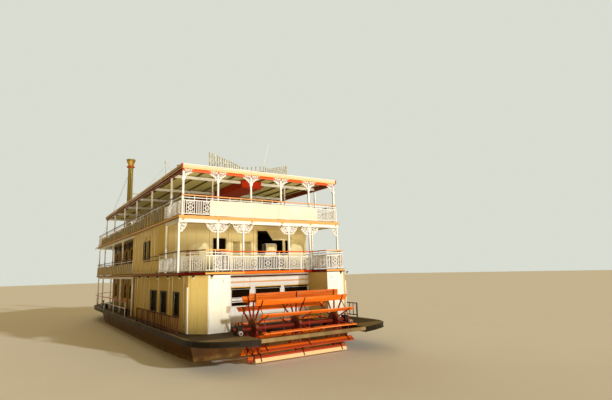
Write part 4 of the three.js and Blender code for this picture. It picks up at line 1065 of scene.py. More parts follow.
def canopyMouldings(look):
    g = Gather()
    half, aft, fore, lip = look["half"], st(look["from"]), st(look["to"]), look["lip"]
    rows = ((levels["roof"] - 0.018, 0.034, 0.012), (levels["eaves"] + 0.016, 0.030, 0.010))
    for paint, (z, tall, out) in enumerate(rows):
        g.paint = paint
        x, y0, y1 = half + out / 2, aft - out / 2, fore + out / 2
        g.strip([(-x, y0, z), (x, y0, z), (x, y1, z), (-x, y1, z)], out * 1.8, tall, (0, 0, 1), closed=True)
    g.paint = 2
    low, high = levels["eaves"] + 0.01, levels["roof"] + 0.006
    for side, _ in bothSides:        # red cap over each stern corner
        x = side * half
        outer, inner = x + side * lip, x - side * 0.045
        g.plate(rim(outer, inner, low, high, aft - lip), (0, 0.012, 0))
        y0, y1 = aft - lip, aft + 0.12
        flank = [(outer, y0, low), (outer, y1, low), (outer, y1, high), (outer, y0, high)]
        g.plate(flank, (-side * 0.012, 0, 0))
    settle(g, "canopy_mouldings", ["whiteTrim", "yellow", "red"])


canopyPurlins(canopyLook)
canopyMouldings(canopyLook)

# Beads along the deck edges, by stations
beadLook = {"width": 0.022, "height": 0.026, "stern": 5.018, "middle": 2.2, "bar": (0.030, 0.05)}
deckEdges = {
    "main": [(3.71, -2.87), (4.44, -2.53), (4.78, -2.31), (5.07, -1.94), (5.27, -1.52), (5.38, -0.95),
             (5.42, -0.2), (5.42, 25), (5.2, 27.5), (4.7, 29.4), (3.9, 31.1), (2.8, 32.5), (1.5, 33.4)],
    "second": [(2.9, 1.47), (2.9, 0), (4.15, 0), (4.64, 0.88), (5, 1.48), (5, 28.3), (4.85, 29.3),
               (4.3, 30.2), (3.2, 30.9), (1.7, 31.25)],
    "third": [(5.018, 1.468), (5.018, 30.0)],
}


def deckEdgeBeads(look):
    wide, high = look["width"], look["height"]
    g = Gather()
    for side, _ in bothSides:
        for key, foot, topPaint in (("second", 5.14, 0), ("third", 8.005, 1)):
            path = [(side * x + side * 0.004, st(y) - 0.004) for x, y in deckEdges[key]]
            for z, tall, paint in ((levels[key] - 0.016, high, topPaint), (foot + 0.026, high * 2, 0)):
                g.paint = paint
                g.strip([(x, y, z) for x, y in path], wide, tall, (0, 0, 1))
    across = ((2, look["stern"], 1.464, levels["third"] - 0.016), (2, look["stern"], 1.464, 8.021),
              (3, look["middle"], 1.466, levels["second"] - 0.016), (3, look["middle"], 1.466, 5.156))
    for paint, x, station, z in across:
        g.paint = paint
        g.strip([(-x, st(station), z), (x, st(station), z)], wide, high, (0, 0, 1))
    settle(g, "deck_edge_beads", ["maroon", "gold", "coral", "red"])
    g = Gather()        # rubbing bars along the main deck
    for side, _ in bothSides:
        path = [(side * x + side * 0.006, st(y)) for x, y in deckEdges["main"]]
        for z in (2.425, 2.235):
            g.strip([(x, y, z) for x, y in path], *look["bar"], (0, 0, 1))
    settle(g, "main_deck_rubbing_bars", ["ironBlack"])


deckEdgeBeads(beadLook)
print("canopy and deck edges trimmed")

# Windows: frame proud of the wall, sash and glass in its thickness
windowLook = {"proud": 0.035, "sash": 0.030, "sashDepth": 0.024, "recess": 0.030,
              "glass": 0.008, "bar": 0.022, "sill": (0.045, 0.068)}


def windowAt(g, place, width, height, arched=False, mullions=0, rails=0, frame=0.065, sashPaint=0):
    # the place's origin is the middle of the opening's foot
    look = windowLook
    half, inset, bar = width / 2, -look["recess"], look["bar"]
    g.place = place

    def outline(grow, y):
        if arched:
            head = [Vector((p.x, y, p.z)) for p in arcPath(0, height - half, half + grow, 0, 180, 10)]
            return [(-half - grow, y, -grow), (half + grow, y, -grow)] + head
        return rim(-half - grow, half + grow, -grow, height + grow, y)

    g.paint = 0
    g.strip(outline(frame / 2, look["proud"] / 2 + 0.001), frame, look["proud"], closed=True)
    g.paint = sashPaint
    g.strip(outline(-look["sash"] / 2 - 0.002, inset), look["sash"], look["sashDepth"], closed=True)
    for k in range(mullions):
        x = -half + width * (k + 1) / (mullions + 1)
        top = height - (half - math.sqrt(max(0, half * half - x * x)) if arched else 0)
        g.strip([(x, inset, 0.02), (x, inset, top - 0.02)], bar, bar)
    for k in range(rails):
        z = height * (k + 1) / (rails + 1)
        g.strip([(-half + 0.02, inset, z), (half - 0.02, inset, z)], bar, bar)
    g.paint = 0
    reach = half + frame * 1.5
    g.strip([(-reach, 0.035, -frame * 1.3), (reach, 0.035, -frame * 1.3)], *look["sill"])
    g.paint = 1
    g.plate(outline(-0.006, inset - look["glass"] / 2), (0, look["glass"], 0))
    g.paint = 0
    g.place = Matrix()


mainSideWindows = {"x": 4.74, "head": 4.29, "openings": [(2.10, 2.95, 3.19), (4.35, 5.45, 3.17),
                                                         (6.40, 7.65, 3.15)]}
recessWindows = {"openings": [(-2.01, -0.96), (-0.60, 0.94), (1.24, 2.79)], "station": 1.90, "foot": 3.48,
                 "height": 0.86, "bars": ((3.665, 3.71), (3.75, 3.87), (3.89, 3.92)), "board": 3.44,
                 "light": (4.330, 4.425), "cornice": (4.425, 4.470)}
foreWindows = {"first": 13.4, "pitch": 2.15, "count": 6, "width": 1.15, "sill": 0.85, "head": 2.15,
               "wall": 3.75, "endX": 2.2, "endStation": 26.6, "endSize": (1.4, 1.2)}
saloonWindows = {"stern": ((-1.26, -0.80), (-0.52, -0.06)), "sides": ((7.45, 7.90), (8.40, 8.95)),
                 "sternStation": 3.5, "sideX": 4.93, "hood": ((0.03, 1.06), (0.03, 1.34)), "foot": 6.20,
                 "height": 0.86, "sill": (6.10, 6.18), "sideFoot": 6.25, "sideHeight": 1.0}


def sideWindows(look):
    g = Gather()
    for side, _ in bothSides:
        for y0, y1, foot in look["openings"]:
            place = wallMatrix(side * look["x"], (y0 + y1) / 2, foot, (side, 0, 0))
            windowAt(g, place, y1 - y0, look["head"] - foot, frame=0.060, sashPaint=1)
    settle(g, "main_side_windows", ["ironBlack", "darkGlass"])


def sternWindows(look):
    g = Gather()
    face = st(look["station"])
    for x0, x1 in look["openings"]:
        place = wallMatrix((x0 + x1) / 2, look["station"], look["foot"], (0, -1, 0))
        windowAt(g, place, x1 - x0, look["height"], frame=0.012, sashPaint=1)
        g.paint = 1                 # dark upper light over the opening
        low, high = look["light"]
        g.block((x0 - 0.01, face - 0.016, low), (x1 + 0.06, face - 0.002, high))
        g.paint = 2
        low, high = look["cornice"]
        g.block((x0 - 0.02, face - 0.050, low), (x1 + 0.07, face - 0.001, high))
        g.paint = 0
        for low, high in look["bars"]:      # transom across the window
            g.block((x0 + 0.004, face + 0.004, low), (x1 - 0.004, face + 0.030, high))
        g.strip([(x, face - 0.014, look["board"]) for x in (x0 - 0.05, x1 + 0.05)], 0.05, 0.05)
    settle(g, "recess_windows", ["whiteTrim", "darkGlass", "gold"])


def foreHouseWindows(look, key):
    g = Gather()
    sill = levels[key] + look["sill"]
    for side, _ in bothSides:
        for k in range(look["count"]):
            middle = look["first"] + k * look["pitch"] + look["width"] / 2
            place = wallMatrix(side * look["wall"], middle, sill, (side, 0, 0))
            windowAt(g, place, look["width"], look["head"] - look["sill"], arched=True, mullions=2, rails=1,
                     frame=0.085)
        place = wallMatrix(side * look["endX"], look["endStation"], sill, (0, 1, 0))
        windowAt(g, place, *look["endSize"], mullions=2, rails=1)
    settle(g, key + "_fore_windows", ["yellow", "darkGlass"])


def secondHouseWindows(look):
    g = Gather()
    station = look["sternStation"]
    low, high = look["sill"]
    for x0, x1 in look["stern"]:
        place = wallMatrix((x0 + x1) / 2, station, look["foot"], (0, -1, 0))
        windowAt(g, place, x1 - x0, look["height"], frame=0.07)
        g.paint = 2
        g.block((x0, st(station) - 0.03, low), (x1, st(station) - 0.004, high))
    settle(g, "saloon_stern_windows", ["creamWall", "tanGlass", "machine"])
    g = Gather()
    foot, head = look["hood"]
    for side, _ in bothSides:
        for y0, y1 in look["sides"]:
            place = wallMatrix(side * look["sideX"], (y0 + y1) / 2, look["sideFoot"], (side, 0, 0))
            windowAt(g, place, y1 - y0, look["sideHeight"], frame=0.05, sashPaint=1)
            half = (y1 - y0) / 2 + 0.09        # pointed hood over the narrow windows
            g.place, g.paint = place, 2
            g.strip([(-half, *foot), (0, *head), (half, *foot)], 0.035, 0.03)
    settle(g, "saloon_side_windows", ["ironBlack", "darkGlass", "creamWall"])


sideWindows(mainSideWindows)
sternWindows(recessWindows)
foreHouseWindows(foreWindows, "main")
foreHouseWindows(foreWindows, "second")
secondHouseWindows(saloonWindows)
print("windows glazed")

# Doors: glass, handles and raised panels, each riding with its leaf
foreDoor = {"station": 26.571, "x": 0.345, "glass": (0.998, 1.852), "proud": 0.026, "knob": (0.43, 1.0),
            "bead": (0.36, 0.98, 1.87), "panels": ((-0.38, -0.04), (0.04, 0.38)), "panel": (0.16, 0.82),
            "handle": [(0.028, 0), (0.028, 0.01), (0.012, 0.012), (0.012, 0.035), (0.030, 0.045),
                       (0.030, 0.06), (0.015, 0.07)]}
glazedDoors = {
    "saloon_door_dress": {
        "body": "second_aft_door", "finishes": ["creamWall", "darkGlass", "gilt"], "station": 3.504,
        "glass": (-2.393, -1.707, 6.147, 7.163), "pane": (3.525, 3.533), "knob": (-1.665, 6.3),
        "handle": [(0.026, 0), (0.026, 0.01), (0.012, 0.012), (0.012, 0.03), (0.028, 0.04), (0.014, 0.06)],
        "beads": ((1, (-2.41, -1.69, 6.14, 7.18), 0.040, 0.010),
                  (0, (-2.36, -1.74, 5.42, 6.02), 0.030, 0.012))},
    "pilot_door_dress": {
        "body": "pilot_door", "finishes": ["wood", "darkGlass"], "station": 25.503,
        "glass": (-0.275, 0.275, 9.163, 9.967), "pane": (25.521, 25.529),
        "beads": ((0, (-0.285, 0.285, 9.155, 9.975), 0.035, 0.012),
                  (0, (-0.26, 0.26, 8.34, 9.0), 0.028, 0.012))},
}


def foreDoorDress(look, key):
    g = Gather()
    foot, middle, x = levels[key], st(look["station"]), look["x"]
    low, high = (foot + z for z in look["glass"])
    g.paint = 1
    g.block((-x, middle - 0.004, low), (x, middle + 0.004, high))
    for face in (-1, 1):
        y = middle + face * look["proud"]
        g.paint = 0
        half, z0, z1 = look["bead"]
        g.strip(rim(-half, half, foot + z0, foot + z1, y), 0.045, 0.018, closed=True)
        z0, z1 = look["panel"]
        for x0, x1 in look["panels"]:
            g.strip(rim(x0, x1, foot + z0, foot + z1, y), 0.028, 0.014, closed=True)
        g.paint = 2
        x, z = look["knob"]
        g.turned(look["handle"], (x, y - face * 0.008, foot + z), (0, face, 0), 10)
    settle(g, key + "_fore_door_dress", ["wood", "darkGlass", "gilt"], key + "_fore_door")


def glazedDoorDress(name, look):
    g = Gather()
    x0, x1, low, high = look["glass"]
    y = st(look["station"])
    back, front = (st(station) for station in look["pane"])
    g.paint = 1
    g.block((x0, back, low), (x1, front, high))
    for paint, (left, right, foot, head), width, depth in look["beads"]:
        g.paint = paint
        g.strip(rim(left, right, foot, head, y), width, depth, closed=True)
    if "knob" in look:
        g.paint = 2
        x, z = look["knob"]
        g.turned(look["handle"], (x, y + 0.004, z), (0, -1, 0), 10)
    settle(g, name, look["finishes"], look["body"])


foreDoorDress(foreDoor, "main")
foreDoorDress(foreDoor, "second")
for name, look in glazedDoors.items():
    glazedDoorDress(name, look)

# Joinery on the saloon's stern wall: pilasters, cornice, skirting, and the casings of door and hatch
sternWallLook = {"y": 3.5, "pilasters": (-2.590, -1.47, 0.13, 2.56), "proud": 0.05, "half": 2.62, "head": 8.0,
                 "shadePanels": ((0.34, 0.92), (0.94, 1.52), (1.54, 2.12)), "shadePanelHead": 6.165,
                 "panels": ((-1.36, -0.72), (-0.60, 0.04)), "panel": (5.52, 6.0), "sill": (-1.40, 0.06),
                 "door": (-2.535, -1.565, 7.30), "hatch": (0.31, 2.52, 6.20, 7.745),
                 "box": (1.00, 1.74, 6.44, 6.86), "upright": (2.14, 2.33, 6.40, 7.70)}


def sternWallTrim(look):
    g = Gather()
    y, proud, half, head = st(look["y"]), look["proud"], look["half"], look["head"]
    foot = levels["second"] + 0.002
    for x in look["pilasters"]:
        g.block((x - 0.055, y - proud, foot), (x + 0.055, y - 0.001, head - 0.22))
        for low, high in ((foot, foot + 0.16), (head - 0.34, head - 0.22)):
            g.block((x - 0.075, y - proud - 0.015, low), (x + 0.075, y - 0.001, high))
    g.block((-half, y - 0.07, head - 0.22), (half, y - 0.001, head - 0.14))
    g.block((-half, y - 0.04, head - 0.14), (half, y - 0.001, head - 0.02))
    x0, x1 = look["sill"]
    g.block((x0, y - 0.025, foot), (x1, y - 0.001, foot + 0.14))
    for x0, x1 in look["panels"]:       # under the two windows
        g.strip(rim(x0, x1, *look["panel"], y - 0.012), 0.035, 0.02, closed=True)
    x0, x1, top = look["door"]
    casing = [(x0, foot), (x0, top), (x0 + 0.03, top + 0.03), (x1 - 0.03, top + 0.03), (x1, top), (x1, foot)]
    x0, x1, low, high = look["hatch"]
    for corners, wide in ((casing, 0.07), ([(x0, low), (x0, high), (x1, high), (x1, low)], 0.06)):
        g.strip([(x, y - 0.02, z) for x, z in corners], wide, 0.035)
    settle(g, "saloon_stern_trim", ["creamWall"], bevel=0.004)
    g = Gather()        # goods box and an upright in the serving hatch
    x0, x1, low, high = look["box"]
    g.block((x0, y + 0.10, low), (x1, y + 0.34, high))
    g.strip(rim(x0 + 0.02, x1 - 0.02, low + 0.02, high - 0.02, y + 0.094), 0.04, 0.012, closed=True)
    x0, x1, low, high = look["upright"]
    g.block((x0, y + 0.06, low), (x1, y + 0.10, high))
    settle(g, "hatch_box", ["shutterCream"], bevel=0.006)
    g = Gather()        # dark panels under the hatch: painted shade for the dark space below the counter
    for x0, x1 in look["shadePanels"]:
        g.block((x0, y - 0.030, foot + 0.04), (x1, y - 0.001, look["shadePanelHead"]))
    settle(g, "hatch_shade_panels", ["ironBlack"], bevel=0.004)


sternWallTrim(sternWallLook)

# Garden bench on the port wing, with a pierced back
benchLook = {"x": -4.24, "station": 1.90, "turned": 3, "seat": 0.46, "back": 1.02, "half": 0.33, "leg": 0.014,
             "slats": 7, "rings": 7, "ringPitch": 0.090}


def wingBench(look):
    g = Gather()
    turn = Matrix.Rotation(math.radians(look["turned"]), 4, "Z")
    g.place = Matrix.Translation((look["x"], st(look["station"]), levels["second"] + 0.002)) @ turn
    half, seat, back = look["half"], look["seat"], look["back"]
    for sx in (-1, 1):
        x = sx * half
        g.tube([(x, -0.20, 0), (x, -0.20, seat), (x * 0.96, -0.27, back)], look["leg"])
        g.tube([(x, 0.20, 0), (x, 0.20, seat)], look["leg"])
    corners = [(-half, -0.21, seat), (half, -0.21, seat), (half, 0.21, seat), (-half, 0.21, seat)]
    g.strip(corners, 0.03, 0.025, (0, 0, 1), closed=True)
    for k in range(look["slats"]):
        y = -0.18 + k * 0.06
        g.strip([(-half, y, seat), (half, y, seat)], 0.034, 0.012, (0, 0, 1))
    leaning = (0, 1, 0.13)
    for z in (back, back - 0.20, seat + 0.10):
        y = -0.20 - 0.07 * (z - seat) / (back - seat)
        g.strip([(-half, y, z), (half, y, z)], 0.036, 0.018, leaning)
    for k in range(look["rings"]):
        x = (k - 3) * look["ringPitch"]
        ring = [(p.x + x, -0.255, p.z) for p in ringPath(0, back - 0.10, 0.050, 8)]
        g.strip(ring, 0.022, 0.016, leaning, closed=True)
        g.strip([(x, -0.225, back - 0.21), (x, -0.205, seat + 0.10)], 0.018, 0.012, leaning)
    settle(g, "wing_bench", ["shaft"])


# Two pipes that run on from the stern rail along each side of the saloon
pipeLook = {"heights": (0.98, 0.75), "radius": 0.018, "clips": (5.6, 7.2, 8.6),
            "path": ((4.962, 5.30), (4.966, 7.0), (4.966, 8.80), (4.945, 8.88))}


def saloonPipes(look):
    g = Gather()
    for side, _ in bothSides:
        for height in look["heights"]:
            z = levels["second"] + height
            g.tube([(side * x, st(y), z) for x, y in look["path"]], look["radius"])
            for station in look["clips"]:
                x, y = side * 4.950, st(station)
                g.block((x - 0.022, y - 0.02, z - 0.025), (x + 0.018, y + 0.02, z + 0.025))
    settle(g, "saloon_side_pipes", ["maroon"])


wingBench(benchLook)
saloonPipes(pipeLook)

# Side walls: upright strips and skirtings, by the stations where they stand
stripLook = {"proud": 0.022, "half": 0.03, "rows": (
    {"x": 4.742, "foot": 2.46, "head": 5.13, "skirt": (0.80, 12.1, 2.458, 2.60),
     "stations": (1.35, 3.25, 3.85, 5.95, 8.15, 9.20, 10.25, 11.30, 12.05)},
    {"x": 4.932, "foot": 5.303, "head": 8.0, "skirt": (5.83, 12.1, 5.303, 5.45),
     "stations": (6.3, 7.05, 9.35, 10.4, 11.45, 12.05)})}


def sideWallStrips(look):
    g = Gather()
    half = look["half"]
    for side, _ in bothSides:
        for row in look["rows"]:
            x = side * row["x"]
            out = x + side * look["proud"]
            for station in row["stations"]:
                g.block((x, st(station) - half, row["foot"]), (out, st(station) + half, row["head"]))
            y0, y1, low, high = row["skirt"]
            g.block((x, st(y0), low), (x + side * 0.03, st(y1), high))
        x = side * 3.752
        for k in range(foreWindows["count"] + 1):       # pilasters between the fore windows
            y = st(foreWindows["first"] - 0.5 + k * foreWindows["pitch"])
            for foot, head in ((levels["main"], 5.13), (levels["second"], 8.0)):
                g.block((x, y - 0.07, foot + 0.003), (x + side * 0.045, y + 0.07, head))
                g.block((x, y - 0.10, head - 0.16), (x + side * 0.075, y + 0.10, head))
    settle(g, "side_wall_strips", ["creamWall"])


# Pale fender board on each stern corner, boards round both blocks, and what runs over the recess windows
cornerLook = {"corner": (4.745, 0.755), "outward": (0.92, -0.39), "fender": (2.46, 4.60), "head": 5.135,
              "boards": ((2.935, -0.012, 2.458, 0.07, 0.022), (3.965, -0.012, 2.458, 0.07, 0.022),
                         (3.45, -0.014, 5.02, 1.10, 0.024)), "box": (3.22, 4.78, 4.94)}
battenLook = {"half": 2.86, "back": 1.899, "rows": ((0, 1.868, 4.70, 4.76), (1, 1.885, 4.985, 5.06))}


def cornerBoards(look):
    g = Gather()
    for side, _ in bothSides:
        x, station = look["corner"]
        corner = Vector((side * x, st(station), 0))
        outward = Vector((side * look["outward"][0], look["outward"][1], 0)).normalized()
        fender = [corner + outward * 0.025 + up * z for z in look["fender"]]
        g.strip(fender, 0.09, 0.05, outward)
        for x, station, foot, wide, deep in look["boards"]:
            g.strip([(side * x, st(station), z) for z in (foot, look["head"])], wide, deep)
        x, low, high = look["box"]
        g.block((side * x - 0.035, st(-0.05), low), (side * x + 0.035, st(-0.001), high))
    settle(g, "corner_boards", ["whiteTrim"])


def recessBattens(look):        # a coral batten and a dark joint
    g = Gather()
    half, back = look["half"], st(look["back"])
    for paint, station, low, high in look["rows"]:
        g.paint = paint
        g.block((-half, st(station), low), (half, back, high))
    settle(g, "recess_battens", ["coral", "maroon"])


# Small lamps under the second and third decks
lampLook = {"mainTop": 5.136, "thirdTop": 7.852, "thirdStation": 1.56, "thirdX": (-2.30, -1.02, 0.92, 2.28),
            "sides": (1.85, 3.9, 6.05, 8.3, 10.4), "sideX": 4.80, "stern": ((3.85, -0.05), (4.62, 0.35))}


def deckLamps(look):
    g = Gather()
    spots = [(side * look["sideX"], station) for side in (-1, 1) for station in look["sides"]]
    spots += [(side * x, station) for x, station in look["stern"] for side in (-1, 1)]
    spots = [(x, st(station), look["mainTop"]) for x, station in spots]
    spots += [(x, st(look["thirdStation"]), look["thirdTop"]) for x in look["thirdX"]]
    for spot in spots:
        g.paint = 0
        g.turned([(0.075, 0), (0.075, -0.02), (0.05, -0.03), (0.05, -0.07)], spot, sides=12)
        g.paint = 1
        g.turned([(0.045, -0.070), (0.062, -0.10), (0.052, -0.145), (0.02, -0.165)], spot, sides=12)
    settle(g, "deck_lamps", ["ironBlack", "lampGlass"])


sideWallStrips(stripLook)
cornerBoards(cornerLook)
recessBattens(battenLook)
deckLamps(lampLook)
print("walls and doors trimmed")

# Paddle wheel: clamps and bolts on the boards, rings and bolts on the hub plates
wheelLook = {"clamp": (0.05, 0.016), "clampFrom": 1.20, "bolts": (1.31, 1.42, 1.53), "hubBolts": 12,
             "hubRing": 0.36, "shaftEnd": 3.331}


def wheelDress(wheel, look):
    g = Gather()
    centre = Vector((0, wheel["y"], wheel["z"]))

    def spoke(degrees):         # the ways out along a board and round the rim
        turn = math.radians(degrees)
        return Vector((0, -math.cos(turn), math.sin(turn))), Vector((0, math.sin(turn), math.cos(turn)))

    for board in range(wheel["boards"]):
        out, around = spoke(wheel["phase"] + 30 * board)
        for x in wheel["spiders"]:
            middle = centre + Vector((x + (0.06 if x < 0 else -0.06 if x > 0 else 0.0), 0, 0))
            for face in (-1, 1):
                ends = [middle + out * radius + around * (face * 0.034)
                        for radius in (look["clampFrom"], wheel["radius"] - 0.015)]
                g.strip(ends, *look["clamp"], around)
                for radius in look["bolts"]:
                    spot = middle + out * radius + around * (face * 0.040)
                    g.turned([(0.020, 0), (0.020, 0.012), (0.010, 0.018)], spot, around * face, 6)
    for x in wheel["spiders"]:      # hub plate rings and bolts
        for face in (-1, 1):
            for k in range(look["hubBolts"]):
                out = spoke(30 * k + 11.5)[0]
                spot = centre + Vector((x + face * 0.062, 0, 0)) + out * look["hubRing"]
                g.turned([(0.024, 0), (0.024, 0.016), (0.012, 0.022)], spot, (face, 0, 0), 6)
            collar = [(0.16, 0), (0.16, 0.03), (0.13, 0.05), (0.102, 0.055)]
            g.turned(collar, centre + Vector((x + face * 0.060, 0, 0)), (face, 0, 0), 20)
    settle(g, "wheel_fittings", ["ironBlack"], "paddle_wheel")

    g = Gather()        # shaft ends
    for side, _ in bothSides:
        cap = [(0.100, 0.0), (0.100, 0.012), (0.085, 0.022), (0.04, 0.024), (0.035, 0.016)]
        g.turned(cap, (side * look["shaftEnd"], wheel["y"], wheel["z"]), (side, 0, 0), 20)
    settle(g, "shaft_end_caps", ["ironBlack"], "paddle_wheel")


# Pillow blocks: bolts, grease cups, and a grease drum on the aft side of each
bearingLook = {"boltY": (-0.22, 0.22), "boltX": (2.98, 3.12), "boltZ": 2.566, "cup": (3.05, 2.881),
               "drum": (3.12, -0.265, 2.564)}


def bearingBolts(look):
    g = Gather()
    y = wheelFacts["y"]
    for side, _ in bothSides:
        for shift in look["boltY"]:
            for x in look["boltX"]:
                bolt = [(0.028, 0), (0.028, 0.02), (0.014, 0.03), (0.014, 0.05)]
                g.turned(bolt, (side * x, y + shift, look["boltZ"]), sides=6)
        x, z = look["cup"]
        cup = [(0.03, 0), (0.03, 0.03), (0.045, 0.04), (0.045, 0.09), (0.02, 0.10)]
        g.turned(cup, (side * x, y, z), sides=10)
        x, shift, z = look["drum"]
        drum = [(0.095, 0), (0.105, 0.01), (0.105, 0.16), (0.095, 0.17), (0.06, 0.172), (0.055, 0.165)]
        g.paint = 1
        g.turned(drum, (side * x, y + shift, z), (0, -1, 0), 18)
        g.paint = 2
        g.turned([(0.050, 0.166), (0.046, 0.176), (0.02, 0.180)], (side * x, y + shift, z), (0, -1, 0), 12)
        g.paint = 0
    settle(g, "bearing_bolts", ["ironBlack", "steel", "hubPaint"])


wheelDress(wheelFacts, wheelLook)
bearingBolts(bearingLook)
print("paddle wheel dressed")

# Cloths: the banner across the stern rail, gathered weather cloths and promenade cloths
bannerLook = {"half": 3.40, "y": 1.500, "low": 8.190, "high": 9.020, "sag": 0.030, "wave": 0.022,
              "thick": 0.006, "steps": 120, "rows": 20, "lashings": 13}


def bannerCloth(look):
    steps, rows, thick = look["steps"], look["rows"], look["thick"]
    width, height = 2 * look["half"], look["high"] - look["low"]
    lines = []
    for col in range(steps + 1):
        u = col / steps
        line = []
        for row in range(rows + 1):
            v = row / rows
            dip = look["sag"] * abs(math.sin(math.pi * u * 5)) ** 1.4 * 0.5
            dip += 0.16 * max(0.0, (u - 0.90) / 0.10) ** 2.2     # the starboard corner has slipped down
            z = look["low"] + v * height - dip * v - 0.012 * math.sin(9.4 * u + 1.0) * v
            wave = math.sin(u * 17 + v * 2.1) * 0.55 + math.sin(u * 41 - v * 5.0) * 0.3
            wave += math.sin(u * 7 + v * 6.5) * 0.5
            belly = look["wave"] * (0.35 + 0.65 * math.sin(math.pi * v)) * (wave + 1.0) * 0.5
            line.append(Vector(((u - 0.5) * width, st(look["y"]) - thick - belly, z)))
        lines.append(line)
    g = Gather()
    g.doubled(lines, Vector((0, thick, 0)))
    banner = settle(g, "stern_banner_cloth", ["bannerCloth"], replaces=["stern_banner"])
    g = Gather()        # lashings from the eyelets to the rail
    y, high = st(look["y"]), look["high"]
    for k in range(look["lashings"]):
        x = -look["half"] + 0.04 + k * (width - 0.08) / (look["lashings"] - 1)
        loop = [(x, y - 0.030, high - 0.05), (x + 0.02, st(1.485), high + 0.02), (x + 0.01, st(1.53), high)]
        g.tube(loop, 0.007, 6)
    settle(g, "banner_lashings", ["bannerCloth"])


clothLook = {"pitch": 0.34, "depth": 0.048, "thick": 0.006, "scallop": 0.075, "ties": 2.0, "slack": 0.13,
             "rows": 8}
clothRuns = {
    "weather": {"x": 4.95, "from": 4.25, "to": 26.4, "foot": 8.19, "head": levels["third"] + 0.93,
                "rail": "third_rail", "slips": 0.20},
    "promenade": {"x": 4.96, "from": 12.3, "to": 28.2, "foot": 5.325, "head": levels["second"] + 0.83,
                  "rail": "second_fore_rail_{}", "slips": 0.0},
}


def pleatedCloth(look, kind, side, word):
    # hung in upright pleats from the rail, its edge scalloped between the ties
    run = clothRuns[kind]
    start, foot, length = run["from"], run["foot"], run["to"] - run["from"]
    steps, rows = max(40, round(length / look["pitch"] * 10)), look["rows"]
    sheets = []
    for col in range(steps + 1):
        u = col / steps
        station = start + length * u
        phase = 2 * math.pi * length * u / look["pitch"] + 0.8 * math.sin(u * 23) + 0.5 * math.sin(u * 61)
        head = run["head"]
        if run["slips"]:                # it hangs lower toward the bow
            head -= 0.13 * min(1.0, u * 4) + run["slips"] * u
        head -= look["scallop"] * abs(math.sin(phase / 2 / look["ties"])) ** 1.3
        head -= look["slack"] * max(0.0, math.sin(station * 1.9) * math.sin(station * 0.73 + 1.0))
        column = []
        for row in range(rows + 1):
            v = row / rows
            depth = look["depth"] * (1.0 - 0.45 * v) * (0.75 + 0.25 * math.sin(u * 37 + 2))
            x = run["x"] + depth * (0.5 + 0.5 * math.sin(phase + 0.35 * math.sin(v * 4 + u * 50)))
            column.append(Vector((side * x, st(station), foot + (head - foot) * v)))
        sheets.append(column)
    for a, b in zip(sheets, sheets[1:]):
        flatLength += (b[0].xy - a[0].xy).length * 0.5 + (b[-1].xy - a[-1].xy).length * 0.5
    g = Gather()
    g.doubled(sheets, Vector((side * look["thick"], 0, 0)))
    cloth = settle(g, kind + "_canvas_" + word, ["canvas"], replaces=[kind + "_cloth_" + word],
                   smooth=60)


bannerCloth(bannerLook)
for side, word in bothSides:
    for kind in clothRuns:
        pleatedCloth(clothLook, kind, side, word)
print("cloths hung")

# Steam organ on the roof: whistles with mouths and caps, standing on a manifold
organLook = {"half": 2.55, "endY": 3.55, "midY": 2.05, "radius": 0.036, "foot": 10.961, "rows": (
    {"count": 14, "from": -2.64, "pitch": 0.135, "closer": -0.0033, "top": 12.22, "step": -0.065},
    {"count": 9, "from": -0.98, "pitch": 0.215, "closer": 0.0, "top": 11.30, "step": 0.004},
    {"count": 8, "from": 0.95, "pitch": 0.207, "closer": 0.0035, "top": 11.44, "step": 0.072})}


def organPipes(look):
    g = Gather()

    def bow(share):         # the manifold's Y, further forward towards its ends
        return st(look["midY"] + (look["endY"] - look["midY"]) * share)

    foot = look["foot"] + 0.082
    for row in look["rows"]:
        x, top, pitch = row["from"], row["top"], row["pitch"]
        for k in range(row["count"]):
            share = abs(x / look["half"])
            r, length = look["radius"] * (0.80 + 0.25 * share), top - foot
            whistle = [(0.016, -0.02), (0.016, 0.05), (r, 0.07), (r, 0.11), (r * 0.35, 0.115),
                       (r * 0.35, 0.135), (r, 0.14), (r, length - 0.045), (r * 1.1, length - 0.04),
                       (r * 1.1, length - 0.015), (r * 0.5, length - 0.004), (0.008, length - 0.003),
                       (0.008, length)]
            g.paint = 0
            g.turned(whistle, (x, bow(share), foot), sides=12)
            g.paint = 1
            g.turned([(r * 1.12, 0.055), (r * 1.12, 0.075)], (x, bow(share), foot), sides=12)
            x, top, pitch = x + pitch, top + row["step"], pitch + row["closer"]
    g.paint = 1
    for side, _ in bothSides:
        shares = (0.0, 0.25, 0.5, 0.75, 1.02)
        g.tube([(side * u * look["half"], bow(u), look["foot"] + 0.040) for u in shares], 0.045, 12)
        for u in (0.15, 0.5, 0.88):
            stand = [(0.07, 0), (0.07, 0.012), (0.028, 0.018), (0.028, 0.10)]
            g.turned(stand, (side * u * look["half"], bow(u), levels["roof"] + 0.001), sides=10)
    stem = [(0.05, 0), (0.05, 0.012), (0.03, 0.02), (0.03, 0.13)]
    g.turned(stem, (0, bow(0), levels["roof"] + 0.001), sides=12)
    settle(g, "steam_whistles", ["pipeBrass", "steel"], replaces=["steam_organ"])


organPipes(organLook)

# Funnels: rolled bands, rivets, red collars, gold teeth round the crowns and steam pipes
funnelLook = {"x": 2.6, "station": 26.2, "radius": 0.25, "foot": 8.167, "collar": 16.28,
              "crown": (16.42, 17.03), "teeth": 20, "rivets": 12, "pipeY": -0.33,
              "bands": (8.9, 9.9, 10.9, 11.9, 12.9, 13.9, 14.9, 15.8), "straps": (9.4, 11.4, 13.3, 15.2),
              "leaf": ((0.045, 0.235, 0.0), (0.056, 0.335, 0.30), (0.030, 0.405, 0.50), (0.004, 0.452, 0.61))}


def levelWay(degrees):
    turn = math.radians(degrees)
    return Vector((math.cos(turn), math.sin(turn), 0))


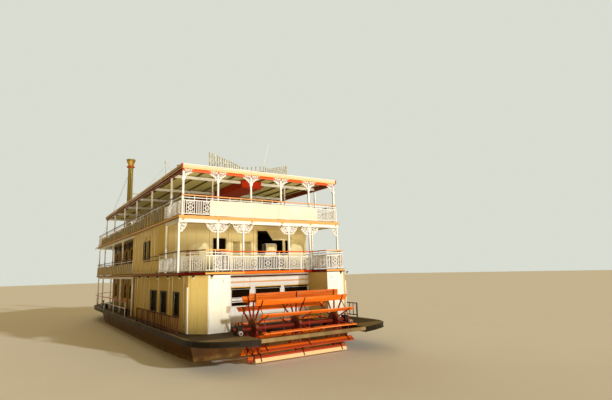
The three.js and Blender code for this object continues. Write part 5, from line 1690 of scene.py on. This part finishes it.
def funnelDress(look, side, word):
    at = Vector((side * look["x"], st(look["station"]), 0))
    r = look["radius"]
    low, high = look["crown"]
    g = Gather()
    for z in look["bands"]:
        band = [(r - 0.01, -0.03), (r + 0.010, -0.03), (r + 0.010, 0.03), (r - 0.01, 0.03)]
        g.turned(band, at + up * z, sides=24)
        for k in range(look["rivets"]):
            out = levelWay(30 * k + 15)
            g.turned([(0.012, 0), (0.012, 0.006), (0.005, 0.010)], at + up * z + out * (r + 0.009), out, 6)
    flare = [(r, 0), (0.42, 0.002), (0.42, 0.03), (0.34, 0.06), (0.27, 0.16), (r + 0.004, 0.24)]
    g.turned(flare, at + up * look["foot"], sides=24)
    g.tube([at + Vector((0, look["pipeY"], z)) for z in (8.18, 12.0, 15.4)], 0.032)      # steam pipe
    cap = [(0.032, 0), (0.055, 0.02), (0.055, 0.16), (0.03, 0.20), (0.03, 0.24)]
    g.turned(cap, at + Vector((0, look["pipeY"], 15.4)), sides=10)
    for z in look["straps"]:
        g.block(at + Vector((-0.012, -0.345, z)), at + Vector((0.012, -0.235, z + 0.03)))
    g.paint = 1
    for k in range(look["teeth"]):      # pointed leaves that lean outward
        out = levelWay(360 * k / look["teeth"])
        around = up.cross(out)
        left, right = ([at + out * reach + up * (low + z) + around * (half * way) for half, reach, z in leaf]
                       for way, leaf in ((-1, look["leaf"]), (1, look["leaf"][::-1])))
        g.plate(left + right, out * 0.014)
        g.ball(at + out * 0.452 + up * (high - 0.012), 0.018, 6)
    crown = [(0.235, -0.03), (0.262, -0.03), (0.275, 0.0), (0.262, 0.03), (0.235, 0.03)]
    g.turned(crown, at + up * low, sides=24)
    g.paint = 2
    collar = [(0.26, -0.09), (0.375, -0.07), (0.385, -0.02), (0.375, 0.03), (0.27, 0.05)]
    g.turned(collar, at + up * look["collar"], sides=24)
    settle(g, "funnel_trim_" + word, ["funnelBlackWithReflection", "gilt", "red"])


# Main stays of the funnels and masthead pole, by stations, each with a turnbuckle
stayLook = {"funnelTop": 15.95, "funnelFeet": ((4.80, 21.5, 10.86), (4.83, 30.0, 8.19), (0.9, 29.9, 8.19)),
            "poleTop": (0, st(22.6), 16.0), "poleFoot": (4.0, 19.4, 10.84)}


def stays(look):
    g = Gather()
    runs = []
    for side, _ in bothSides:
        top = Vector((side * funnelLook["x"], st(funnelLook["station"]), look["funnelTop"]))
        runs += [(top, Vector((side * x, st(y), z))) for x, y, z in look["funnelFeet"]]
    x, y, z = look["poleFoot"]
    runs += [(Vector(look["poleTop"]), Vector((side * x, st(y), z))) for side in (-1, 1)]
    for a, b in runs:
        run = (b - a).normalized()
        g.tube([a + run * 0.25, b - run * 0.30], 0.008, 6)
        g.tube([b - run * back for back in (0.32, 0.30, 0.12, 0.10)], [0.009, 0.018, 0.018, 0.009], 6)
        g.tube([b - run * 0.10, b], 0.009, 6)
        g.turned([(0.05, 0), (0.05, 0.012), (0.018, 0.016), (0.018, 0.04)], b - up * 0.024, sides=8)
    settle(g, "funnel_stays", ["steel"])


for side, word in bothSides:
    funnelDress(funnelLook, side, word)
stays(stayLook)
print("organ and funnels fitted")

# Pilothouse: glazing, skirting, sill band, cornice, cresting and finial
pilotLook = {"sill": 9.165, "fore": ((-1.4, -0.533), (-0.433, 0.434), (0.533, 1.4)), "aftX": 0.95,
             "aftWidth": 0.8, "sides": ((25.8, 26.8), (27.05, 28.05)), "x": 1.51, "aft": 25.49,
             "front": 28.31, "middle": 26.9, "crests": 15, "crest": (10.462, 10.60), "eave": 1.795,
             "walls": {"x": 1.5, "aft": 25.5, "front": 28.3}, "glass": 1.0, "doorway": 0.47,
             "skirting": 8.25, "band": 9.02, "cornice": 10.38, "finial": 10.871}


def pilothouseDress(look):
    g = Gather()
    half, aft, front = look["x"], st(look["aft"]), st(look["front"])
    wall, middle = look["walls"], look["middle"]
    panes = [((x0 + x1) / 2, wall["front"], (0, 1, 0), x1 - x0) for x0, x1 in look["fore"]]
    for side, _ in bothSides:
        panes.append((side * look["aftX"], wall["aft"], (0, -1, 0), look["aftWidth"]))
        panes += [(side * wall["x"], (y0 + y1) / 2, (side, 0, 0), y1 - y0) for y0, y1 in look["sides"]]
    for x, station, outward, width in panes:
        place = wallMatrix(x, station, look["sill"], outward)
        windowAt(g, place, width, look["glass"], frame=0.05, rails=1)
    around = [(half, aft), (half, front), (-half, front), (-half, aft)]
    skirting = [(look["doorway"], aft)] + around + [(-look["doorway"], aft)]
    g.strip([(x, y, look["skirting"]) for x, y in skirting], 0.03, 0.15, (0, 0, 1))
    g.strip([(x * 1.006, y, look["band"]) for x, y in around], 0.05, 0.06, (0, 0, 1))
    cornice = [(x, y, look["cornice"]) for x, y in around[-1:] + around[:-1]]
    g.strip(cornice, 0.05, 0.10, (0, 0, 1), closed=True)
    g.paint = 2
    low, high = look["crest"]
    for side, _ in bothSides:
        y = st(middle) + side * look["eave"]
        for k in range(look["crests"]):         # scroll cresting along the eaves
            x = -1.68 + k * 0.24
            g.plate([(x - 0.09, y, low), (x + 0.09, y, low), (x, y, high)], (0, side * 0.012, 0))
    finial = [(0.12, 0), (0.12, 0.03), (0.05, 0.06), (0.05, 0.16), (0.09, 0.22), (0.09, 0.28), (0.03, 0.36),
              (0.01, 0.52)]
    g.turned(finial, (0, st(middle), look["finial"]))
    settle(g, "pilothouse_trim", ["creamWall", "darkGlass", "gilt"])


pilothouseDress(pilotLook)

# Stair handrails, each stair by the stations and heights of its foot and head
stairLook = (
    {"sides": (-0.76, 0.76), "foot": (31.6, 2.455), "head": (28.8, 5.30), "post": 0.93, "radius": 0.02,
     "rails": ((0.92, 0.026), (0.50, 0.016))},
    {"sides": (3.05, 4.05), "foot": (29.4, 5.30), "head": (27.01, 8.165), "post": 0.91, "radius": 0.018,
     "rails": ((0.90, 0.024), (0.48, 0.014))},
)


def stairDress(stairs):
    g = Gather()
    for stair in stairs:
        for x in stair["sides"]:
            foot, head = (Vector((x, st(y), z)) for y, z in (stair["foot"], stair["head"]))
            rise = head - foot
            for lift, radius in stair["rails"]:
                g.tube([foot + up * lift, foot + rise * 0.5 + up * lift, head + up * lift], radius)
            for k in range(5):
                p = foot + rise * k / 4
                g.tube([p + up * 0.02, p + up * stair["post"]], stair["radius"])
    settle(g, "stair_handrails", ["red"])


stairDress(stairLook)

# Deck fittings: bitts and cleats by stations, the capstan's whelps and bar sockets
foreDeckLook = {"bitts": [(2.9, 30.4), (4.35, 27.9), (4.95, 22.0), (4.95, 14.0)],
                "cleats": [(1.9, 31.9), (4.9, 18.0)], "foot": 2.457, "plate": (2.4555, 2.475),
                "horn": ((-0.22, 2.60), (-0.10, 2.575), (0.10, 2.575), (0.22, 2.60))}


def deckFittings(look):
    g = Gather()
    foot = look["foot"]
    for side, _ in bothSides:
        for x, station in look["bitts"]:
            y = st(station)
            for shift in (-0.22, 0.22):
                bitt = [(0.12, 0), (0.12, 0.02), (0.085, 0.03), (0.080, 0.36), (0.115, 0.38), (0.115, 0.42),
                        (0.05, 0.44)]
                g.turned(bitt, (side * x, y + shift, foot))
            low, high = look["plate"]
            g.block((side * x - 0.15, y - 0.42, low), (side * x + 0.15, y + 0.42, high))
        for x, station in look["cleats"]:
            g.turned([(0.05, 0), (0.05, 0.10), (0.03, 0.12)], (side * x, st(station), foot), sides=10)
            horn = [(side * x, st(station) + shift, z) for shift, z in look["horn"]]
            g.tube(horn, [0.018, 0.03, 0.03, 0.018])
    settle(g, "deck_bitts", ["ironBlack"])


capstanLook = {"station": 32.5, "count": 8, "whelp": ((0.245, 2.62), (0.215, 2.80), (0.245, 3.00)),
               "socket": (0.296, 3.14)}


def capstanWhelps(look):
    g = Gather()
    at, step = Vector((0, st(look["station"]), 0)), 360 / look["count"]
    for k in range(look["count"]):
        out = levelWay(step * k)
        whelp = [at + out * reach + up * z for reach, z in look["whelp"]]
        g.strip(whelp, 0.05, 0.035, up.cross(out).cross(up))
    reach, z = look["socket"]
    for k in range(look["count"]):
        out = levelWay(step * (k + 0.5))
        socket = [(0.045, 0), (0.045, 0.012), (0.03, 0.012), (0.03, 0.002)]
        g.turned(socket, at + out * reach + up * z, out, 8)
    settle(g, "capstan_whelps", ["ironBlack"], "capstan")


deckFittings(foreDeckLook)
capstanWhelps(capstanLook)
print("deck fittings placed")

# Stage: pale floor at the waterline, soft key from astern, its glint off the water, a faint fill from ahead
stageLook = {"floorHalf": 260.0, "floor": (0.84, 0.80, 0.68), "backdrop": (0.70, 0.72, 0.64),
             "world": (1.0, 0.68, 0.24), "worldStrength": 0.30}
suns = {
    "sun": {"from": (0.346, -0.857, 0.383), "strength": 1.85, "softness": 2.5, "colour": (1.0, 1.0, 0.98)},
    "glint": {"from": (0.02, -0.95, -0.32), "strength": 2.60, "softness": 34.0, "colour": (1.0, 0.86, 0.62)},
    "fill": {"from": (0.05, 0.90, 0.44), "strength": 1.1, "softness": 50.0, "colour": (1.0, 0.92, 0.74)},
}


def makeFloor(look):
    sheet = bmesh.new()
    bmesh.ops.create_grid(sheet, x_segments=8, y_segments=8, size=look["floorHalf"])
    data = bpy.data.meshes.new("floor")
    sheet.to_mesh(data)
    sheet.free()
    floor = bpy.data.objects.new("floor", data)
    floor.location.z = levels["water"]
    floor.visible_shadow = False         # lets the sun's reflection up, as water would
    bpy.context.scene.collection.objects.link(floor)
    work = Surface("floorPaint", Specular_IOR_Level=0.0)
    tone = work.blend(work.noise(work.place()[0], 0.4), look["floor"], dim(look["floor"], 0.95))
    data.materials.append(work.done(tone, 1.0))


def makeLight(look):
    world = bpy.data.worlds.new("paleRoom")
    world.use_nodes = True
    work = Wiring(world.node_tree)       # the room lights warmly and shows itself pale
    seen = work.node("ShaderNodeLightPath").outputs["Is Camera Ray"]
    background = world.node_tree.nodes["Background"].inputs
    lit = dim(look["world"], look["worldStrength"])
    work.feed(work.blend(seen, lit, look["backdrop"]), background["Color"])
    bpy.context.scene.world = world
    for label, sun in suns.items():
        lamp = bpy.data.lights.new(label, "SUN")
        lamp.energy, lamp.color, lamp.angle = sun["strength"], sun["colour"], math.radians(sun["softness"])
        holder = bpy.data.objects.new(label, lamp)
        holder.rotation_euler = Vector(sun["from"]).to_track_quat("Z", "Y").to_euler()
        bpy.context.scene.collection.objects.link(holder)


makeFloor(stageLook)
makeLight(stageLook)
bpy.context.scene.view_settings.view_transform = "Standard"     # paint colours come out as they are mixed
print("stage lit")
